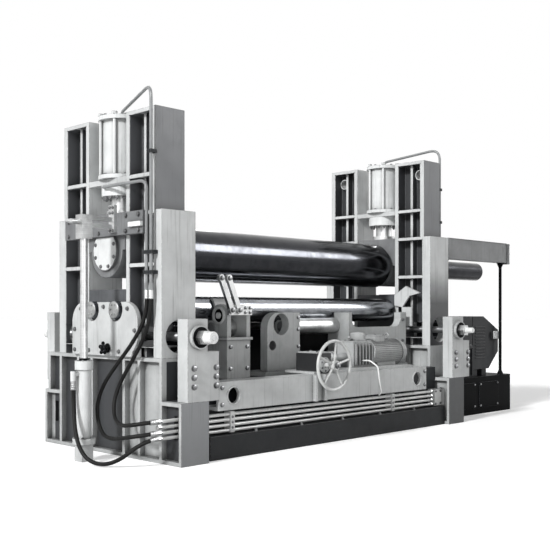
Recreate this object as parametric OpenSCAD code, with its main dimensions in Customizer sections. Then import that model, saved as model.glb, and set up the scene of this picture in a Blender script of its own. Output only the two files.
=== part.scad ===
// Hydraulic plate bending machine: three rolls between two welded housings.
// Millimetres, +X along the rolls towards the drive end, +Y to the back, +Z up.
// The origin is on the floor, in the middle of the foundation bolt pattern.

/* [Housings] */
// Distance between the centre lines of the two housings
housing_pitch = 4540; // [4300:10:4800]
// Width of the lower columns along the rolls
housing_w = 430; // [410:2:470]
// Width of the upper columns along the rolls
upper_w = 370; // [350:2:400]
// Depth over the lower columns, front to back
lower_depth = 1840; // [1780:10:1900]
// Depth over the upper columns, front to back
upper_depth = 1640; // [1560:10:1700]
// Width of the window between the columns
window_w = 668; // [640:2:700]
// Height of the window sill above the floor
sill_z = 1030; // [1000:2:1050]
// Height of the lower columns
lower_h = 2500; // [2460:5:2540]
// Overall height of the housings
housing_h = 3530; // [3450:5:3600]
// Thickness of the outer flange of the lower columns
lower_flange_t = 130; // [80:2:150]
// Thickness of the outer flange of the upper columns
upper_flange_t = 65; // [40:1:90]
// Thickness of the flanges beside the window
inner_flange_t = 60; // [40:1:80]
// Thickness of the column webs
web_t = 50; // [30:1:70]
// Thickness of the ribs across the columns
rib_t = 40; // [25:1:50]
// Height of the middle rib of the lower columns
mid_rib_z = 1980; // [1900:10:2060]
// Diameter of the lifting holes in the drive end housing
lifting_hole_d = 145; // [100:5:180]

/* [Bases and bed] */
// Reach of the front feet beyond the lower columns
foot_reach = 300; // [280:2:330]
// Reach of the bases behind the rear columns, above the rear feet
rear_reach = 235; // [220:1:250]
// Width of a foot along the rolls
foot_w = 350; // [320:2:380]
// Height of the feet
foot_h = 610; // [580:2:640]
// Thickness of the base plates and of the foot plates
base_plate_t = 40; // [25:1:50]
// Depth of the sunk panels in the sides of the bases
panel_sink = 60; // [30:1:80]
// Diameter of the foundation bolt holes
anchor_d = 42; // [30:1:52]
// Distance of the foundation bolt holes outside the lower columns
anchor_out = 120; // [100:2:140]
// Height of the bed between the housings
bed_h = 750; // [720:2:770]
// Reach of the bed's webs beyond the lower columns
bed_over = 80; // [60:1:100]
// Thickness of the plates of the bed
bed_plate_t = 50; // [30:1:60]
// Height of the rail along the foot of the bed
rail_h = 240; // [200:2:250]
// Width of the rail along the foot of the bed
rail_w = 150; // [120:2:160]
// Height of the lower edge of the bed beams
beam_z = 500; // [490:2:530]
// Height of the upper edge of the bed beams
beam_top = 790; // [775:1:800]
// Thickness of the plates of the bed beams
beam_t = 40; // [20:1:50]
// Diameter of the round holes in the bed beams
beam_hole_d = 160; // [100:2:180]
// Distance of the holes from the ends of the bed beams
beam_hole_in = 200; // [160:5:240]
// Distance of the bed beams' drive ends from the drive end housing
beam_short = 520; // [480:5:560]

/* [Feed screws] */
// Width of a screw bracket
bracket_w = 400; // [360:2:420]
// Thickness of a screw bracket
bracket_t = 155; // [120:1:180]
// Height of the top of a screw bracket
bracket_top = 1420; // [1400:2:1480]
// Height of the lower edge of a rear screw bracket
rear_bracket_z = 705; // [680:5:720]
// Height of the top of a rear screw bracket
rear_bracket_top = 1480; // [1440:5:1500]
// Diameter of a feed screw
screw_d = 85; // [70:1:100]
// Height of the feed screws
screw_z = 1240; // [1230:2:1260]
// Diameter of the holes in the columns round the screws
screw_hole_d = 330; // [280:2:340]
// Gap round a screw in its bracket
screw_clear = 0.3; // [0.1:0.05:0.8]
// Thickness of the collar on a screw bracket
collar_t = 40; // [30:1:50]
// Thickness of a feed screw's nut
screw_nut_t = 80; // [60:1:90]
// Length of the square end of a feed screw beyond its nut
screw_end = 110; // [80:2:130]

/* [Rolls] */
// Diameter of the top roll
top_roll_d = 600; // [560:2:620]
// Height of the top roll's axis
top_roll_z = 2125; // [2115:1:2140]
// Gap between the end of a roll's barrel and the housings
barrel_gap = 55; // [35:1:80]
// Diameter of the top roll's journals
top_journal_d = 340; // [300:2:360]
// Diameter of the top roll's tail
tail_d = 280; // [250:2:300]
// Length of the top roll's tail beyond the housing
tail_len = 2225; // [2000:5:2300]
// Diameter of the lower rolls
lower_roll_d = 300; // [280:2:304]
// Height of the lower rolls' axes
lower_roll_z = 1510; // [1500:1:1515]
// Distance of the lower rolls from the middle, front to back
lower_roll_y = 210; // [200:1:216]
// Diameter of the lower rolls' journals
lower_journal_d = 180; // [150:2:190]
// Length of the lower rolls' drive journals inside the gear case
drive_journal_len = 250; // [150:5:300]
// Length of the lower rolls' journals outside the idle end housing
idle_journal_len = 60; // [50:1:80]
// Gap round a journal in its bearing
journal_clear = 0.3; // [0.1:0.05:0.8]
// Diameter of the backup rollers
backup_d = 200; // [180:2:204]
// Diameter of the backup rollers' journals
backup_journal_d = 80; // [60:1:90]
// Height of the backup rollers' axes
backup_z = 1310; // [1300:1:1312]
// Gap between a backup roller and its lower roll
roll_gap = 6; // [5:0.5:10]

/* [Chocks and lift] */
// Height of the top of the top chocks
chock_top = 2500; // [2480:2:2510]
// Radius of the round foot of the top chocks
chock_r = 280; // [260:2:300]
// Gap between the top chocks and the window
chock_clear = 6; // [5:0.5:10]
// Travel of the top roll, up and down from its middle place
stroke = 100; // [80:1:110]
// Half width of the keeper plates outside the columns
keeper_half = 700; // [600:5:710]
// Height of the lower edge of the keeper plates
keeper_z = 2270; // [2250:2:2300]
// Thickness of the keeper plates
keeper_t = 60; // [40:1:70]
// Radius of the end cover on the idle end chock
end_cover_r = 210; // [190:2:230]
// Thickness of the end cover
end_cover_t = 24; // [12:1:30]
// Height of the top of the lower chocks
lower_chock_top = 1720; // [1690:2:1730]
// Gap between the lower chocks and the window
lower_chock_clear = 2; // [0.5:0.5:4]
// Half width of the cover over the lower chock at the idle end
cover_half = 590; // [500:5:640]
// Height of the cover over the lower chock
cover_h = 560; // [520:5:600]
// Thickness of the cover over the lower chock
cover_t = 45; // [25:1:60]
// Radius of the shoulders of the cover
shoulder_r = 210; // [180:5:230]
// Radius of the notches round the lower rolls' journals
notch_r = 120; // [110:1:130]
// Height of the lift cylinders' seats above the top chocks
ram_show = 320; // [310:2:350]
// Thickness of the seat of the lift cylinders
seat_t = 60; // [40:1:80]
// Diameter of the lift cylinders' barrels
barrel_d = 400; // [380:2:410]
// Length of the lift cylinders above their seats
barrel_len = 665; // [650:5:700]
// Thickness of the closed ends of the lift cylinders
head_t = 90; // [70:2:100]
// Diameter of the flanges of the lift cylinders
flange_d = 490; // [470:2:520]
// Thickness of the flanges of the lift cylinders
flange_t = 45; // [30:1:60]
// Diameter of the tie rods of the lift cylinders
tie_d = 36; // [24:1:40]
// Diameter of the gland under the seat
gland_d = 420; // [400:2:440]
// Height of the gland under the seat
gland_h = 120; // [100:2:130]
// Diameter of the rams
ram_d = 220; // [190:2:240]
// Gap round a ram in its cylinder
ram_clear = 0.5; // [0.2:0.1:1]
// Diameter of the foot flange of a ram
ram_foot_d = 320; // [280:2:360]
// Thickness of the foot flange of a ram
ram_foot_t = 50; // [30:1:60]

/* [Balance cylinder] */
// Distance of the balance cylinder from the side of its housing
balance_out = 430; // [400:5:460]
// Distance of the balance cylinder in front of the middle
balance_y = 220; // [180:5:260]
// Diameter of the balance cylinder's barrel
balance_d = 150; // [130:2:170]
// Height of the pedestal under the balance cylinder
pedestal_h = 200; // [160:5:240]
// Width of the pedestal under the balance cylinder
pedestal_w = 130; // [120:2:160]
// Height of the top of the balance cylinder's barrel
balance_top = 1000; // [950:5:1050]
// Diameter of the balance cylinder's rod
rod_d = 76; // [60:1:80]
// Gap round the balance cylinder's rod
rod_clear = 0.4; // [0.2:0.1:0.8]
// Height of the lower edge of the balance bracket
lug_z = 2216; // [2200:2:2230]
// Height of the balance bracket
lug_h = 240; // [220:5:260]
// Width of the balance bracket
lug_w = 118; // [110:2:140]
// Length of the pin at the outer side of the balance bracket
lug_pin_len = 150; // [120:5:170]
// Thickness of the two bars of the balance bracket
lug_bar_t = 42; // [30:1:50]

/* [Roll stands] */
// Distance of the front of the roll stands behind the front of the lower columns
stand_in = 300; // [280:2:310]
// Thickness of the front plates of the roll stands
stand_t = 110; // [60:2:120]
// Back of the roll stands, measured from the middle
stand_rear = 270; // [260:2:280]
// Height of the top of the stand plates
stand_top = 1478; // [1460:2:1500]
// Thickness of the cheeks that carry the backup rollers
cheek_t = 60; // [40:1:70]
// Left edge of the yoke stand
yoke_x = -1350; // [-1400:5:-1320]
// Width of the yoke stand
yoke_w = 350; // [330:5:380]
// Height of the top of the yoke's block
yoke_block_top = 1205; // [1190:1:1208]
// Height of the top of the yoke's arms
yoke_top = 1570; // [1550:2:1580]
// Left edge of the plate stand
plate_x = -730; // [-760:5:-700]
// Width of the plate stand
plate_w = 545; // [520:5:580]
// Radius of the round corner of the plate stand
plate_corner_r = 180; // [140:5:220]
// Diameter of the large hole in the plate stand
plate_hole_d = 250; // [220:5:270]
// Diameter of the small hole in the plate stand
plate_small_d = 110; // [90:2:130]
// Left edge of the saddle stand
saddle_x = 720; // [700:5:740]
// Width of the saddle stand
saddle_w = 1200; // [1160:5:1220]
// Depth of the hollow in the saddle stand's top
saddle_dip = 190; // [160:5:210]
// Radius of the corners of that hollow
saddle_r = 120; // [100:5:140]
// Gap between a backup roller's ends and the cheeks
end_gap = 8; // [5:0.5:15]
// Width of a plate guide bar
guide_w = 60; // [40:1:70]
// Diameter of the eyes at the ends of a plate guide bar
guide_eye_d = 80; // [72:1:90]
// Thickness of a plate guide bar
guide_t = 30; // [20:1:36]
// Length of a plate guide bar between its ends
guide_len = 380; // [340:5:420]
// Spacing of the two plate guide bars
guide_gap = 110; // [80:2:140]
// Lean of the plate guide bars, in degrees
guide_lean = 24; // [20:1:30]

/* [Pipes and hoses] */
// Diameter of the pipes
pipe_d = 34; // [24:1:36]
// Spacing of the pipes along the bed
pipe_pitch = 55; // [46:1:56]
// Height of the lowest pipe along the bed
pipe_z = 275; // [270:1:285]
// Distance of the pipes along the bed outside the lower columns
pipe_out = 150; // [140:2:170]
// Length of the pipe stubs outside the idle end base
stub_len = 170; // [140:5:180]
// Diameter of the hoses
hose_d = 40; // [30:1:44]

/* [Adjuster] */
// Diameter of the handwheel over its rim
wheel_d = 580; // [540:5:620]
// Thickness of the handwheel's rim
rim_d = 36; // [24:1:44]
// Number of spokes in the handwheel
spokes = 5; // [3:1:6]
// Place of the handwheel along the rolls
wheel_x = -385; // [-420:5:-340]
// Height of the handwheel's axis
wheel_z = 890; // [880:2:910]
// Distance of the handwheel in front of the bed beams
wheel_out = 110; // [90:2:140]
// Diameter of the handwheel's shaft
wheel_shaft_d = 50; // [36:1:60]
// Diameter of the adjuster's motor
motor_d = 310; // [280:2:330]
// Length of the adjuster's motor without its fan cover
motor_len = 610; // [560:5:640]
// Length of the fan cover of the adjuster's motor
fan_len = 95; // [70:1:110]
// Distance of the adjuster motor's axis behind the front of the bed beams
motor_in = 330; // [310:2:350]
// Thickness of the plate under the adjuster
adjuster_plate_t = 30; // [20:1:36]
// Left end of the adjuster's finned case
case_x = 330; // [300:5:360]
// Length of the adjuster's finned case
case_w = 360; // [330:5:380]
// Height of the finned case above its plate
case_h = 300; // [280:5:320]
// Height of the dome on the finned case
dome_h = 90; // [60:2:110]
// Width of the worm box behind the handwheel
worm_w = 240; // [220:5:260]
// Depth of the worm box
worm_depth = 320; // [300:5:340]
// Distance of the worm box behind the front of the bed beams
worm_in = 40; // [30:1:60]
// Depth of the handwheel shaft's bore in the worm box
worm_bore = 160; // [140:2:180]

/* [Drive] */
// Length of the drive plinth beyond the housing
plinth_len = 1775; // [1700:5:1850]
// Distance of the drive plinth behind the front of the lower columns
plinth_in = 70; // [40:2:90]
// Back of the drive plinth, measured from the middle
plinth_back = 750; // [650:5:800]
// Height of the drive plinth
plinth_h = 540; // [500:5:560]
// Length of the gear case beyond the housing
gear_case_len = 520; // [480:5:560]
// Half width of the gear case
gear_case_half = 400; // [380:5:440]
// Gap between the gear case and the lowered top chock
gear_case_clear = 10; // [8:1:20]
// Height of the top of the reducer
reducer_top = 1416; // [1400:2:1430]
// Length of the reducer
reducer_len = 800; // [760:5:840]
// Length of the drive motor's hood
motor_hood_len = 700; // [660:5:720]
// Height of the drive motor's feet
motor_foot_h = 100; // [80:2:120]
// Distance of the reducer and the drive motor behind the plinth's front
drive_inset = 90; // [60:2:120]
// Length of the cable arm beyond the housing
arm_len = 1600; // [1550:5:1650]
// Height of the cable arm
arm_h = 285; // [270:5:300]
// Width of the cable arm
arm_w = 130; // [100:2:130]
// Diameter of the conduit under the cable arm
conduit_d = 45; // [36:1:60]

/* [Hidden] */
$fn = 64;
half_pitch = housing_pitch / 2;
left_side = -half_pitch - housing_w / 2;
right_side = half_pitch + housing_w / 2;
inner_left = -half_pitch + housing_w / 2;
inner_right = half_pitch - housing_w / 2;
press_shift = (upper_w - housing_w) / 2;
barrel_half = inner_right - barrel_gap;
window_half = window_w / 2;
backup_drop = lower_roll_z - backup_z;
backup_reach = lower_roll_d / 2 + backup_d / 2 + roll_gap;
backup_y = lower_roll_y + sqrt(backup_reach * backup_reach - backup_drop * backup_drop);
beam_front = lower_depth / 2 + foot_reach;
bed_half = lower_depth / 2 + bed_over;
rear_end = lower_depth / 2 + rear_reach;
rear_face = rear_end + bracket_t;
anchor_y = lower_depth / 2 + anchor_out;
pipe_y = lower_depth / 2 + pipe_out;
stand_front = lower_depth / 2 - stand_in;
seat_z = chock_top + ram_show;
lift_top = seat_z + seat_t + barrel_len;
gear_case_top = top_roll_z - chock_r - stroke - gear_case_clear;
plinth_front = lower_depth / 2 - plinth_in;
wheel_y = beam_front + wheel_out;
motor_y = beam_front - motor_in;
motor_lift = 5;
motor_z = beam_top + adjuster_plate_t + motor_lift + motor_d / 2;
worm_front = beam_front - worm_in;
case_x1 = case_x + case_w;
keeper_face = left_side - chock_clear - keeper_t;
foot_shift = (foot_w - housing_w) / 2;
bracket_in = 80;
bracket_x0 = bracket_in - housing_w / 2;
chock_in = 15;
over = 1;
steel = "gainsboro";
grey = "silver";
dark = "dimgray";
black = "black";

// A box between two corners
module block(x0, x1, y0, y1, z0, z1) {
  translate([x0, y0, z0])
    cube([x1 - x0, y1 - y0, z1 - z0]);
}

// Round bars along the three axes
module bar_x(d, x0, x1, y, z) {
  translate([x0, y, z])
    rotate([0, 90, 0])
      cylinder(d = d, h = x1 - x0);
}

module bar_y(d, x, y0, y1, z) {
  translate([x, y0, z])
    rotate([-90, 0, 0])
      cylinder(d = d, h = y1 - y0);
}

module bar_z(d, x, y, z0, z1) {
  translate([x, y, z0])
    cylinder(d = d, h = z1 - z0);
}

// A profile drawn in Y and Z, carried along X
module along_x(x0, x1) {
  translate([x0, 0, 0])
    rotate([90, 0, 90])
      linear_extrude(height = x1 - x0)
        children();
}

// A piece and its mirror image at the back
module front_and_back() {
  children();
  mirror([0, 1, 0])
    children();
}

// A straight pipe between two points
module pipe_leg(a, b, d) {
  run = b - a;
  len = norm(run);
  translate(a)
    rotate([0, acos(run[2] / len), atan2(run[1], run[0])])
      cylinder(d = d, h = len);
}

// A pipe through a list of points, with round elbow fittings
module pipe_run(points, d) {
  for (i = [0 : len(points) - 2])
    pipe_leg(points[i], points[i + 1], d);
  for (i = [1 : len(points) - 2])
    translate(points[i])
      sphere(d = d * 1.2);
}

// Front column of a housing, with the housing's centre line at X = 0
module front_column(lifting_hole) {
  x0 = -housing_w / 2;
  lower_x1 = housing_w / 2;
  upper_x1 = x0 + upper_w;
  web_x = x0 + upper_w / 2;
  y_low = -lower_depth / 2;
  y_up = -upper_depth / 2;
  y_in = -window_half;
  low_back = y_low + lower_flange_t;
  up_back = y_up + upper_flange_t;
  web_end = y_in - inner_flange_t;
  stiff_y = (up_back + web_end) / 2;
  bay_room = 60;
  screw_room = 10;
  stiff_in = 60;
  low_rib_rise = 100;
  screw_bay = screw_d + 2 * bay_room;
  hole_y = up_back + lifting_hole_d * 0.58;
  hole_z = housing_h - lifting_hole_d * 1.2;
  difference() {
    union() {
      block(x0, lower_x1, y_low, low_back, sill_z, lower_h);
      block(x0, upper_x1, y_up, up_back, lower_h, housing_h);
      block(x0, lower_x1, web_end, y_in, sill_z, lower_h);
      block(x0, upper_x1, web_end, y_in, lower_h, housing_h);
      block(web_x - web_t / 2, web_x + web_t / 2, low_back, web_end, sill_z, lower_h);
      block(web_x - web_t / 2, web_x + web_t / 2, up_back, web_end, lower_h, housing_h);
      block(x0 + stiff_in, upper_x1 - stiff_in,
            stiff_y - rib_t / 2, stiff_y + rib_t / 2, sill_z, housing_h);
      for (z = [sill_z + low_rib_rise + rib_t, mid_rib_z, lower_h])
        block(x0, lower_x1, low_back, web_end, z - rib_t, z);
      for (z = [seat_z + seat_t, housing_h])
        block(x0, upper_x1, up_back, web_end, z - rib_t, z);
    }
    bar_y(screw_hole_d, 0, y_low - over, low_back + over, screw_z);
    block(x0 - over, lower_x1 + over, low_back, web_end, screw_z - screw_bay / 2, screw_z + screw_bay / 2);
    bar_y(screw_d + 2 * screw_room, 0, web_end - over, y_in + over, screw_z);
    if (lifting_hole)
      bar_x(lifting_hole_d, x0 - over, lower_x1 + over, hole_y, hole_z);
  }
}

module left_front_column() {
  color(grey)
    translate([-half_pitch, 0, 0])
      front_column(false);
}

module left_rear_column() {
  color(grey)
    translate([-half_pitch, 0, 0])
      mirror([0, 1, 0])
        front_column(false);
}

// Sheet guide on the inner side of the drive end column
module sheet_guide() {
  sheet_t = 30;
  root_out = 11;
  root_rise = 60;
  root_h = 143;
  peak_out = 194;
  peak_rise = 121;
  tip_out = 431;
  tip_rise = 27;
  neck_out = 255;
  neck_drop = 13;
  heel_out = 135;
  heel_drop = 25;
  post_w = 170;
  post_h = 260;
  post_out = 295;
  post_drop = 20;
  root_y = -window_half - root_out;
  root_z = lower_roll_z + root_rise;
  root_top = root_z + root_h;
  peak = [root_y - peak_out, root_top + peak_rise];
  tip = [root_y - tip_out, root_top + tip_rise];
  neck = [root_y - neck_out, root_top - neck_drop];
  heel = [root_y - heel_out, root_z - heel_drop];
  post = [root_y - post_out, root_z - post_drop - post_h];
  along_x(inner_right - sheet_t, inner_right) {
    polygon([[root_y, root_z], [root_y, root_top], peak, tip, neck, heel]);
    translate(post)
      square([post_w, post_h]);
  }
}

module right_front_column() {
  color(grey)
    union() {
      translate([half_pitch, 0, 0])
        front_column(true);
      sheet_guide();
    }
}

module right_rear_column() {
  color(grey)
    translate([half_pitch, 0, 0])
      mirror([0, 1, 0])
        front_column(true);
}

// Seat plate of a lift cylinder, between the columns
module crosshead(x) {
  difference() {
    block(x + press_shift - upper_w / 2, x + press_shift + upper_w / 2,
          -window_half, window_half, seat_z, seat_z + seat_t);
    bar_z(ram_foot_d, x + press_shift, 0, seat_z - over, seat_z + seat_t + over);
  }
}

module left_crosshead() {
  color(steel)
    crosshead(-half_pitch);
}

module right_crosshead() {
  color(steel)
    crosshead(half_pitch);
}

// Base under a housing: box section with sunk panels, a low foot in front and a high end at the back
module base(x) {
  x0 = x - housing_w / 2;
  x1 = x + housing_w / 2;
  foot_x1 = x0 + foot_w;
  y_low = lower_depth / 2;
  y_foot = beam_front;
  web_x0 = x0 + panel_sink;
  rib_w = 45;
  inner_share = 0.34;
  outer_share = 0.62;
  rib_a = y_low * inner_share;
  rib_b = y_low * outer_share;
  plate_z = foot_h - base_plate_t;
  top_z = sill_z - rib_t;
  difference() {
    union() {
      block(web_x0, x1 - panel_sink, -y_low, y_low, base_plate_t, top_z);
      block(x0, x1, -y_low, rear_end, top_z, sill_z);
      block(x0, x1, -y_low, y_low, 0, base_plate_t);
      for (y = [-y_low, -rib_b, -rib_a, rib_a - rib_w, rib_b - rib_w, y_low - rib_w])
        block(x0, x1, y, y + rib_w, base_plate_t, top_z);
      block(web_x0, x1 - panel_sink, y_low, rear_end, plate_z, top_z);
      block(x0, x1, rear_end - rib_w, rear_end, foot_h, top_z);
      front_and_back() {
        block(x0, foot_x1, -y_foot, -y_low, 0, base_plate_t);
        block(x0, foot_x1, -y_foot, -y_low, plate_z, foot_h);
        block(x0, foot_x1, -y_foot, -y_foot + base_plate_t, base_plate_t, plate_z);
        block(web_x0, web_x0 + base_plate_t, -y_foot + base_plate_t, -y_low, base_plate_t, plate_z);
      }
    }
    front_and_back() {
      bar_z(anchor_d, x, -anchor_y, -over, base_plate_t + over);
      block(x0 - over, foot_x1 + over, -pipe_y - pipe_d, -pipe_y + pipe_d,
            pipe_z - pipe_d, pipe_z + 3 * pipe_pitch + pipe_d);
    }
  }
}

module left_base() {
  color(grey)
    base(-half_pitch);
}

module right_base() {
  color(grey)
    base(half_pitch);
}

// Bracket that carries a feed screw: its outer face, lower edge, shoulder and top are given
module screw_bracket(x, face, low_z, shoulder_z, top_z) {
  x0 = x + bracket_x0;
  collar_wall = 75;
  collar_d = screw_d + 2 * collar_wall;
  difference() {
    union() {
      block(x0, x0 + bracket_w, -face, -face + bracket_t, low_z, shoulder_z);
      block(x0, x + collar_d / 2, -face, -face + bracket_t, shoulder_z, top_z);
      bar_y(collar_d, x, -face - collar_t, -face, screw_z);
    }
    bar_y(screw_d + 2 * screw_clear, x, -face - collar_t - over, -face + bracket_t + over, screw_z);
  }
}

// Screw bracket on the front foot, and the one behind the rear end of the base
module screw_brackets(x) {
  shoulder = 140;
  screw_bracket(x, beam_front, foot_h, screw_z - shoulder, bracket_top);
  mirror([0, 1, 0])
    screw_bracket(x, rear_face, rear_bracket_z, screw_z - shoulder, rear_bracket_top);
}

module left_screw_brackets() {
  color(steel)
    screw_brackets(-half_pitch);
}

module right_screw_brackets() {
  color(steel)
    screw_brackets(half_pitch);
}

// Feed screw that sets the lower chock, with a nut and a thin end in front of its bracket
module feed_screw(x, face) {
  tip_y = -window_half + lower_chock_clear;
  nut_gap = 1;
  nut_share = 1.75;
  end_share = 0.7;
  nut_y = -face - collar_t - nut_gap;
  end_y = nut_y - screw_nut_t - screw_end;
  bar_y(screw_d, x, nut_y - screw_nut_t / 2, tip_y, screw_z);
  translate([x, nut_y - screw_nut_t, screw_z])
    rotate([-90, 0, 0])
      cylinder(d = screw_d * nut_share, h = screw_nut_t, $fn = 6);
  bar_y(screw_d * end_share, x, end_y, nut_y - screw_nut_t / 2, screw_z);
}

module feed_screws(x) {
  feed_screw(x, beam_front);
  mirror([0, 1, 0])
    feed_screw(x, rear_face);
}

module left_feed_screws() {
  color(steel)
    feed_screws(-half_pitch);
}

module right_feed_screws() {
  color(steel)
    feed_screws(half_pitch);
}

// Lift cylinder: gland under the seat, barrel, flanges and tie rods above it
module lift_cylinder(x) {
  base_z = seat_z + seat_t;
  tie_gap = 3;
  tie_r = (barrel_d + tie_d) / 2 + tie_gap;
  tie_count = 6;
  tie_start = 215;
  nut_h = 30;
  nut_share = 1.7;
  spigot_gap = 0.5;
  translate([x + press_shift, 0, 0])
    difference() {
      union() {
        bar_z(gland_d, 0, 0, seat_z - gland_h, seat_z);
        bar_z(ram_foot_d - 2 * spigot_gap, 0, 0, seat_z, base_z);
        bar_z(flange_d, 0, 0, base_z, base_z + flange_t);
        bar_z(barrel_d, 0, 0, base_z, lift_top);
        bar_z(flange_d, 0, 0, lift_top - flange_t, lift_top);
        for (i = [0 : tie_count - 1])
          rotate([0, 0, tie_start + i * 360 / tie_count])
            translate([tie_r, 0, 0]) {
              bar_z(tie_d, 0, 0, base_z + flange_t / 2, lift_top + nut_h / 2);
              translate([0, 0, lift_top])
                cylinder(d = tie_d * nut_share, h = nut_h, $fn = 6);
            }
      }
      bar_z(ram_d + 2 * ram_clear, 0, 0, seat_z - gland_h - over, lift_top - head_t);
    }
}

module left_lift_cylinder() {
  color(steel)
    lift_cylinder(-half_pitch);
}

module right_lift_cylinder() {
  color(steel)
    lift_cylinder(half_pitch);
}

// Ram of a lift cylinder, standing on its chock
module ram(x) {
  spare_travel = 1.75 * stroke;
  bar_z(ram_foot_d, x + press_shift, 0, chock_top, chock_top + ram_foot_t);
  bar_z(ram_d, x + press_shift, 0, chock_top, lift_top - head_t - spare_travel);
}

module left_ram() {
  color(steel)
    ram(-half_pitch);
}

module right_ram() {
  color(steel)
    ram(half_pitch);
}

// Outline of a top chock, seen along the rolls
module chock_outline() {
  half = window_half - chock_clear;
  translate([-half, top_roll_z])
    square([2 * half, chock_top - top_roll_z]);
  translate([0, top_roll_z])
    circle(r = chock_r);
}

// Top chock that slides in a window, with its keeper plate outside the columns
module top_chock(x, out) {
  inside = x - out * (housing_w / 2 - chock_in);
  outside = x + out * (housing_w / 2 + chock_clear);
  keeper_out = outside + out * keeper_t;
  along_x(min(inside, outside), max(inside, outside))
    chock_outline();
  block(min(outside, keeper_out), max(outside, keeper_out),
        -keeper_half, keeper_half, keeper_z, chock_top);
}

module left_top_chock() {
  bore_wall = 40;
  bore_end = left_side + bore_wall;
  cover_x = left_side - chock_clear;
  clamp_t = 30;
  clamp_h = 50;
  clamp_len = 210;
  clamp_rise = 70;
  clamp_z = keeper_z + clamp_rise;
  color(grey)
    union() {
      difference() {
        top_chock(-half_pitch, -1);
        bar_x(top_journal_d + 2 * journal_clear, bore_end, inner_left + over, 0, top_roll_z);
      }
      intersection() {
        bar_x(2 * end_cover_r, cover_x - end_cover_t, cover_x, 0, top_roll_z);
        block(cover_x - end_cover_t, cover_x, -end_cover_r, end_cover_r,
              top_roll_z - end_cover_r, keeper_z);
      }
      block(keeper_face - clamp_t, keeper_face, -keeper_half, -keeper_half + clamp_len,
            clamp_z, clamp_z + clamp_h);
    }
}

module right_top_chock() {
  bore_end = right_side + chock_clear + keeper_t;
  color(grey)
    difference() {
      top_chock(half_pitch, 1);
      bar_x(top_journal_d + 2 * journal_clear, inner_right - over, bore_end + over, 0, top_roll_z);
    }
}

// Top roll: barrel, journals, a collar at the drive end and a long tail
module top_roll() {
  journal_in = 45;
  journal_out = 20;
  taper = tail_d / 4;
  taper_x = right_side + tail_len - taper;
  color(dark)
    union() {
      bar_x(top_roll_d, -barrel_half, barrel_half, 0, top_roll_z);
      bar_x(top_journal_d, left_side + journal_in, right_side + journal_out, 0, top_roll_z);
      bar_x(tail_d, right_side, taper_x, 0, top_roll_z);
      translate([taper_x, 0, top_roll_z])
        rotate([0, 90, 0])
          cylinder(d1 = tail_d, d2 = tail_d / 2, h = taper);
    }
}

// Lower chock on a sill, bored for both lower rolls
module lower_chock(x) {
  half = window_half - lower_chock_clear;
  difference() {
    block(x - housing_w / 2, x + housing_w / 2 - chock_in, -half, half, sill_z, lower_chock_top);
    for (y = [-lower_roll_y, lower_roll_y])
      bar_x(lower_journal_d + 2 * journal_clear, x - housing_w / 2 - over, x + housing_w / 2 + over,
            y, lower_roll_z);
  }
}

module left_lower_chock() {
  color(grey)
    lower_chock(-half_pitch);
}

module right_lower_chock() {
  color(grey)
    lower_chock(half_pitch);
}

// Cover over the idle end of the lower chock, with round shoulders and a notch for each journal
module lower_chock_cover() {
  color(steel)
    along_x(left_side - cover_t, left_side)
      difference() {
        union() {
          translate([-cover_half, sill_z])
            square([2 * cover_half, cover_h - shoulder_r]);
          translate([-cover_half + shoulder_r, sill_z])
            square([2 * (cover_half - shoulder_r), cover_h]);
          for (y = [-cover_half + shoulder_r, cover_half - shoulder_r])
            translate([y, sill_z + cover_h - shoulder_r])
              circle(r = shoulder_r);
        }
        for (y = [-lower_roll_y, lower_roll_y])
          translate([y, lower_roll_z])
            circle(r = notch_r);
      }
}

// Lower roll with its journals
module lower_roll(y) {
  bar_x(lower_roll_d, -barrel_half, barrel_half, y, lower_roll_z);
  bar_x(lower_journal_d, left_side - idle_journal_len, right_side + drive_journal_len, y, lower_roll_z);
}

module front_lower_roll() {
  color(steel)
    lower_roll(-lower_roll_y);
}

module rear_lower_roll() {
  color(steel)
    lower_roll(lower_roll_y);
}

// Backup rollers on one axis: a short one in the yoke and a long one between the stands
module backup_rollers(y) {
  journal_end = 5;
  short_x0 = yoke_x + cheek_t + end_gap;
  short_x1 = yoke_x + yoke_w - cheek_t - end_gap;
  long_x0 = plate_x + plate_w + end_gap;
  long_x1 = saddle_x - end_gap;
  bar_x(backup_d, short_x0, short_x1, y, backup_z);
  bar_x(backup_journal_d, yoke_x + journal_end, yoke_x + yoke_w - journal_end, y, backup_z);
  bar_x(backup_d, long_x0, long_x1, y, backup_z);
  bar_x(backup_journal_d, plate_x + plate_w - cheek_t + journal_end, saddle_x + cheek_t - journal_end,
        y, backup_z);
}

module front_backup_rollers() {
  color(steel)
    backup_rollers(-backup_y);
}

module rear_backup_rollers() {
  color(steel)
    backup_rollers(backup_y);
}

// Cheek that carries one end of a backup roller and hugs the lower roll
module cheek(x, foot_z, top) {
  along_x(x, x + cheek_t)
    difference() {
      translate([-stand_front, foot_z])
        square([stand_front - stand_rear, top - foot_z]);
      translate([-lower_roll_y, lower_roll_z])
        circle(d = lower_roll_d + 2 * end_gap);
      translate([-backup_y, backup_z])
        circle(d = backup_journal_d + 2 * journal_clear);
    }
}

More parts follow.
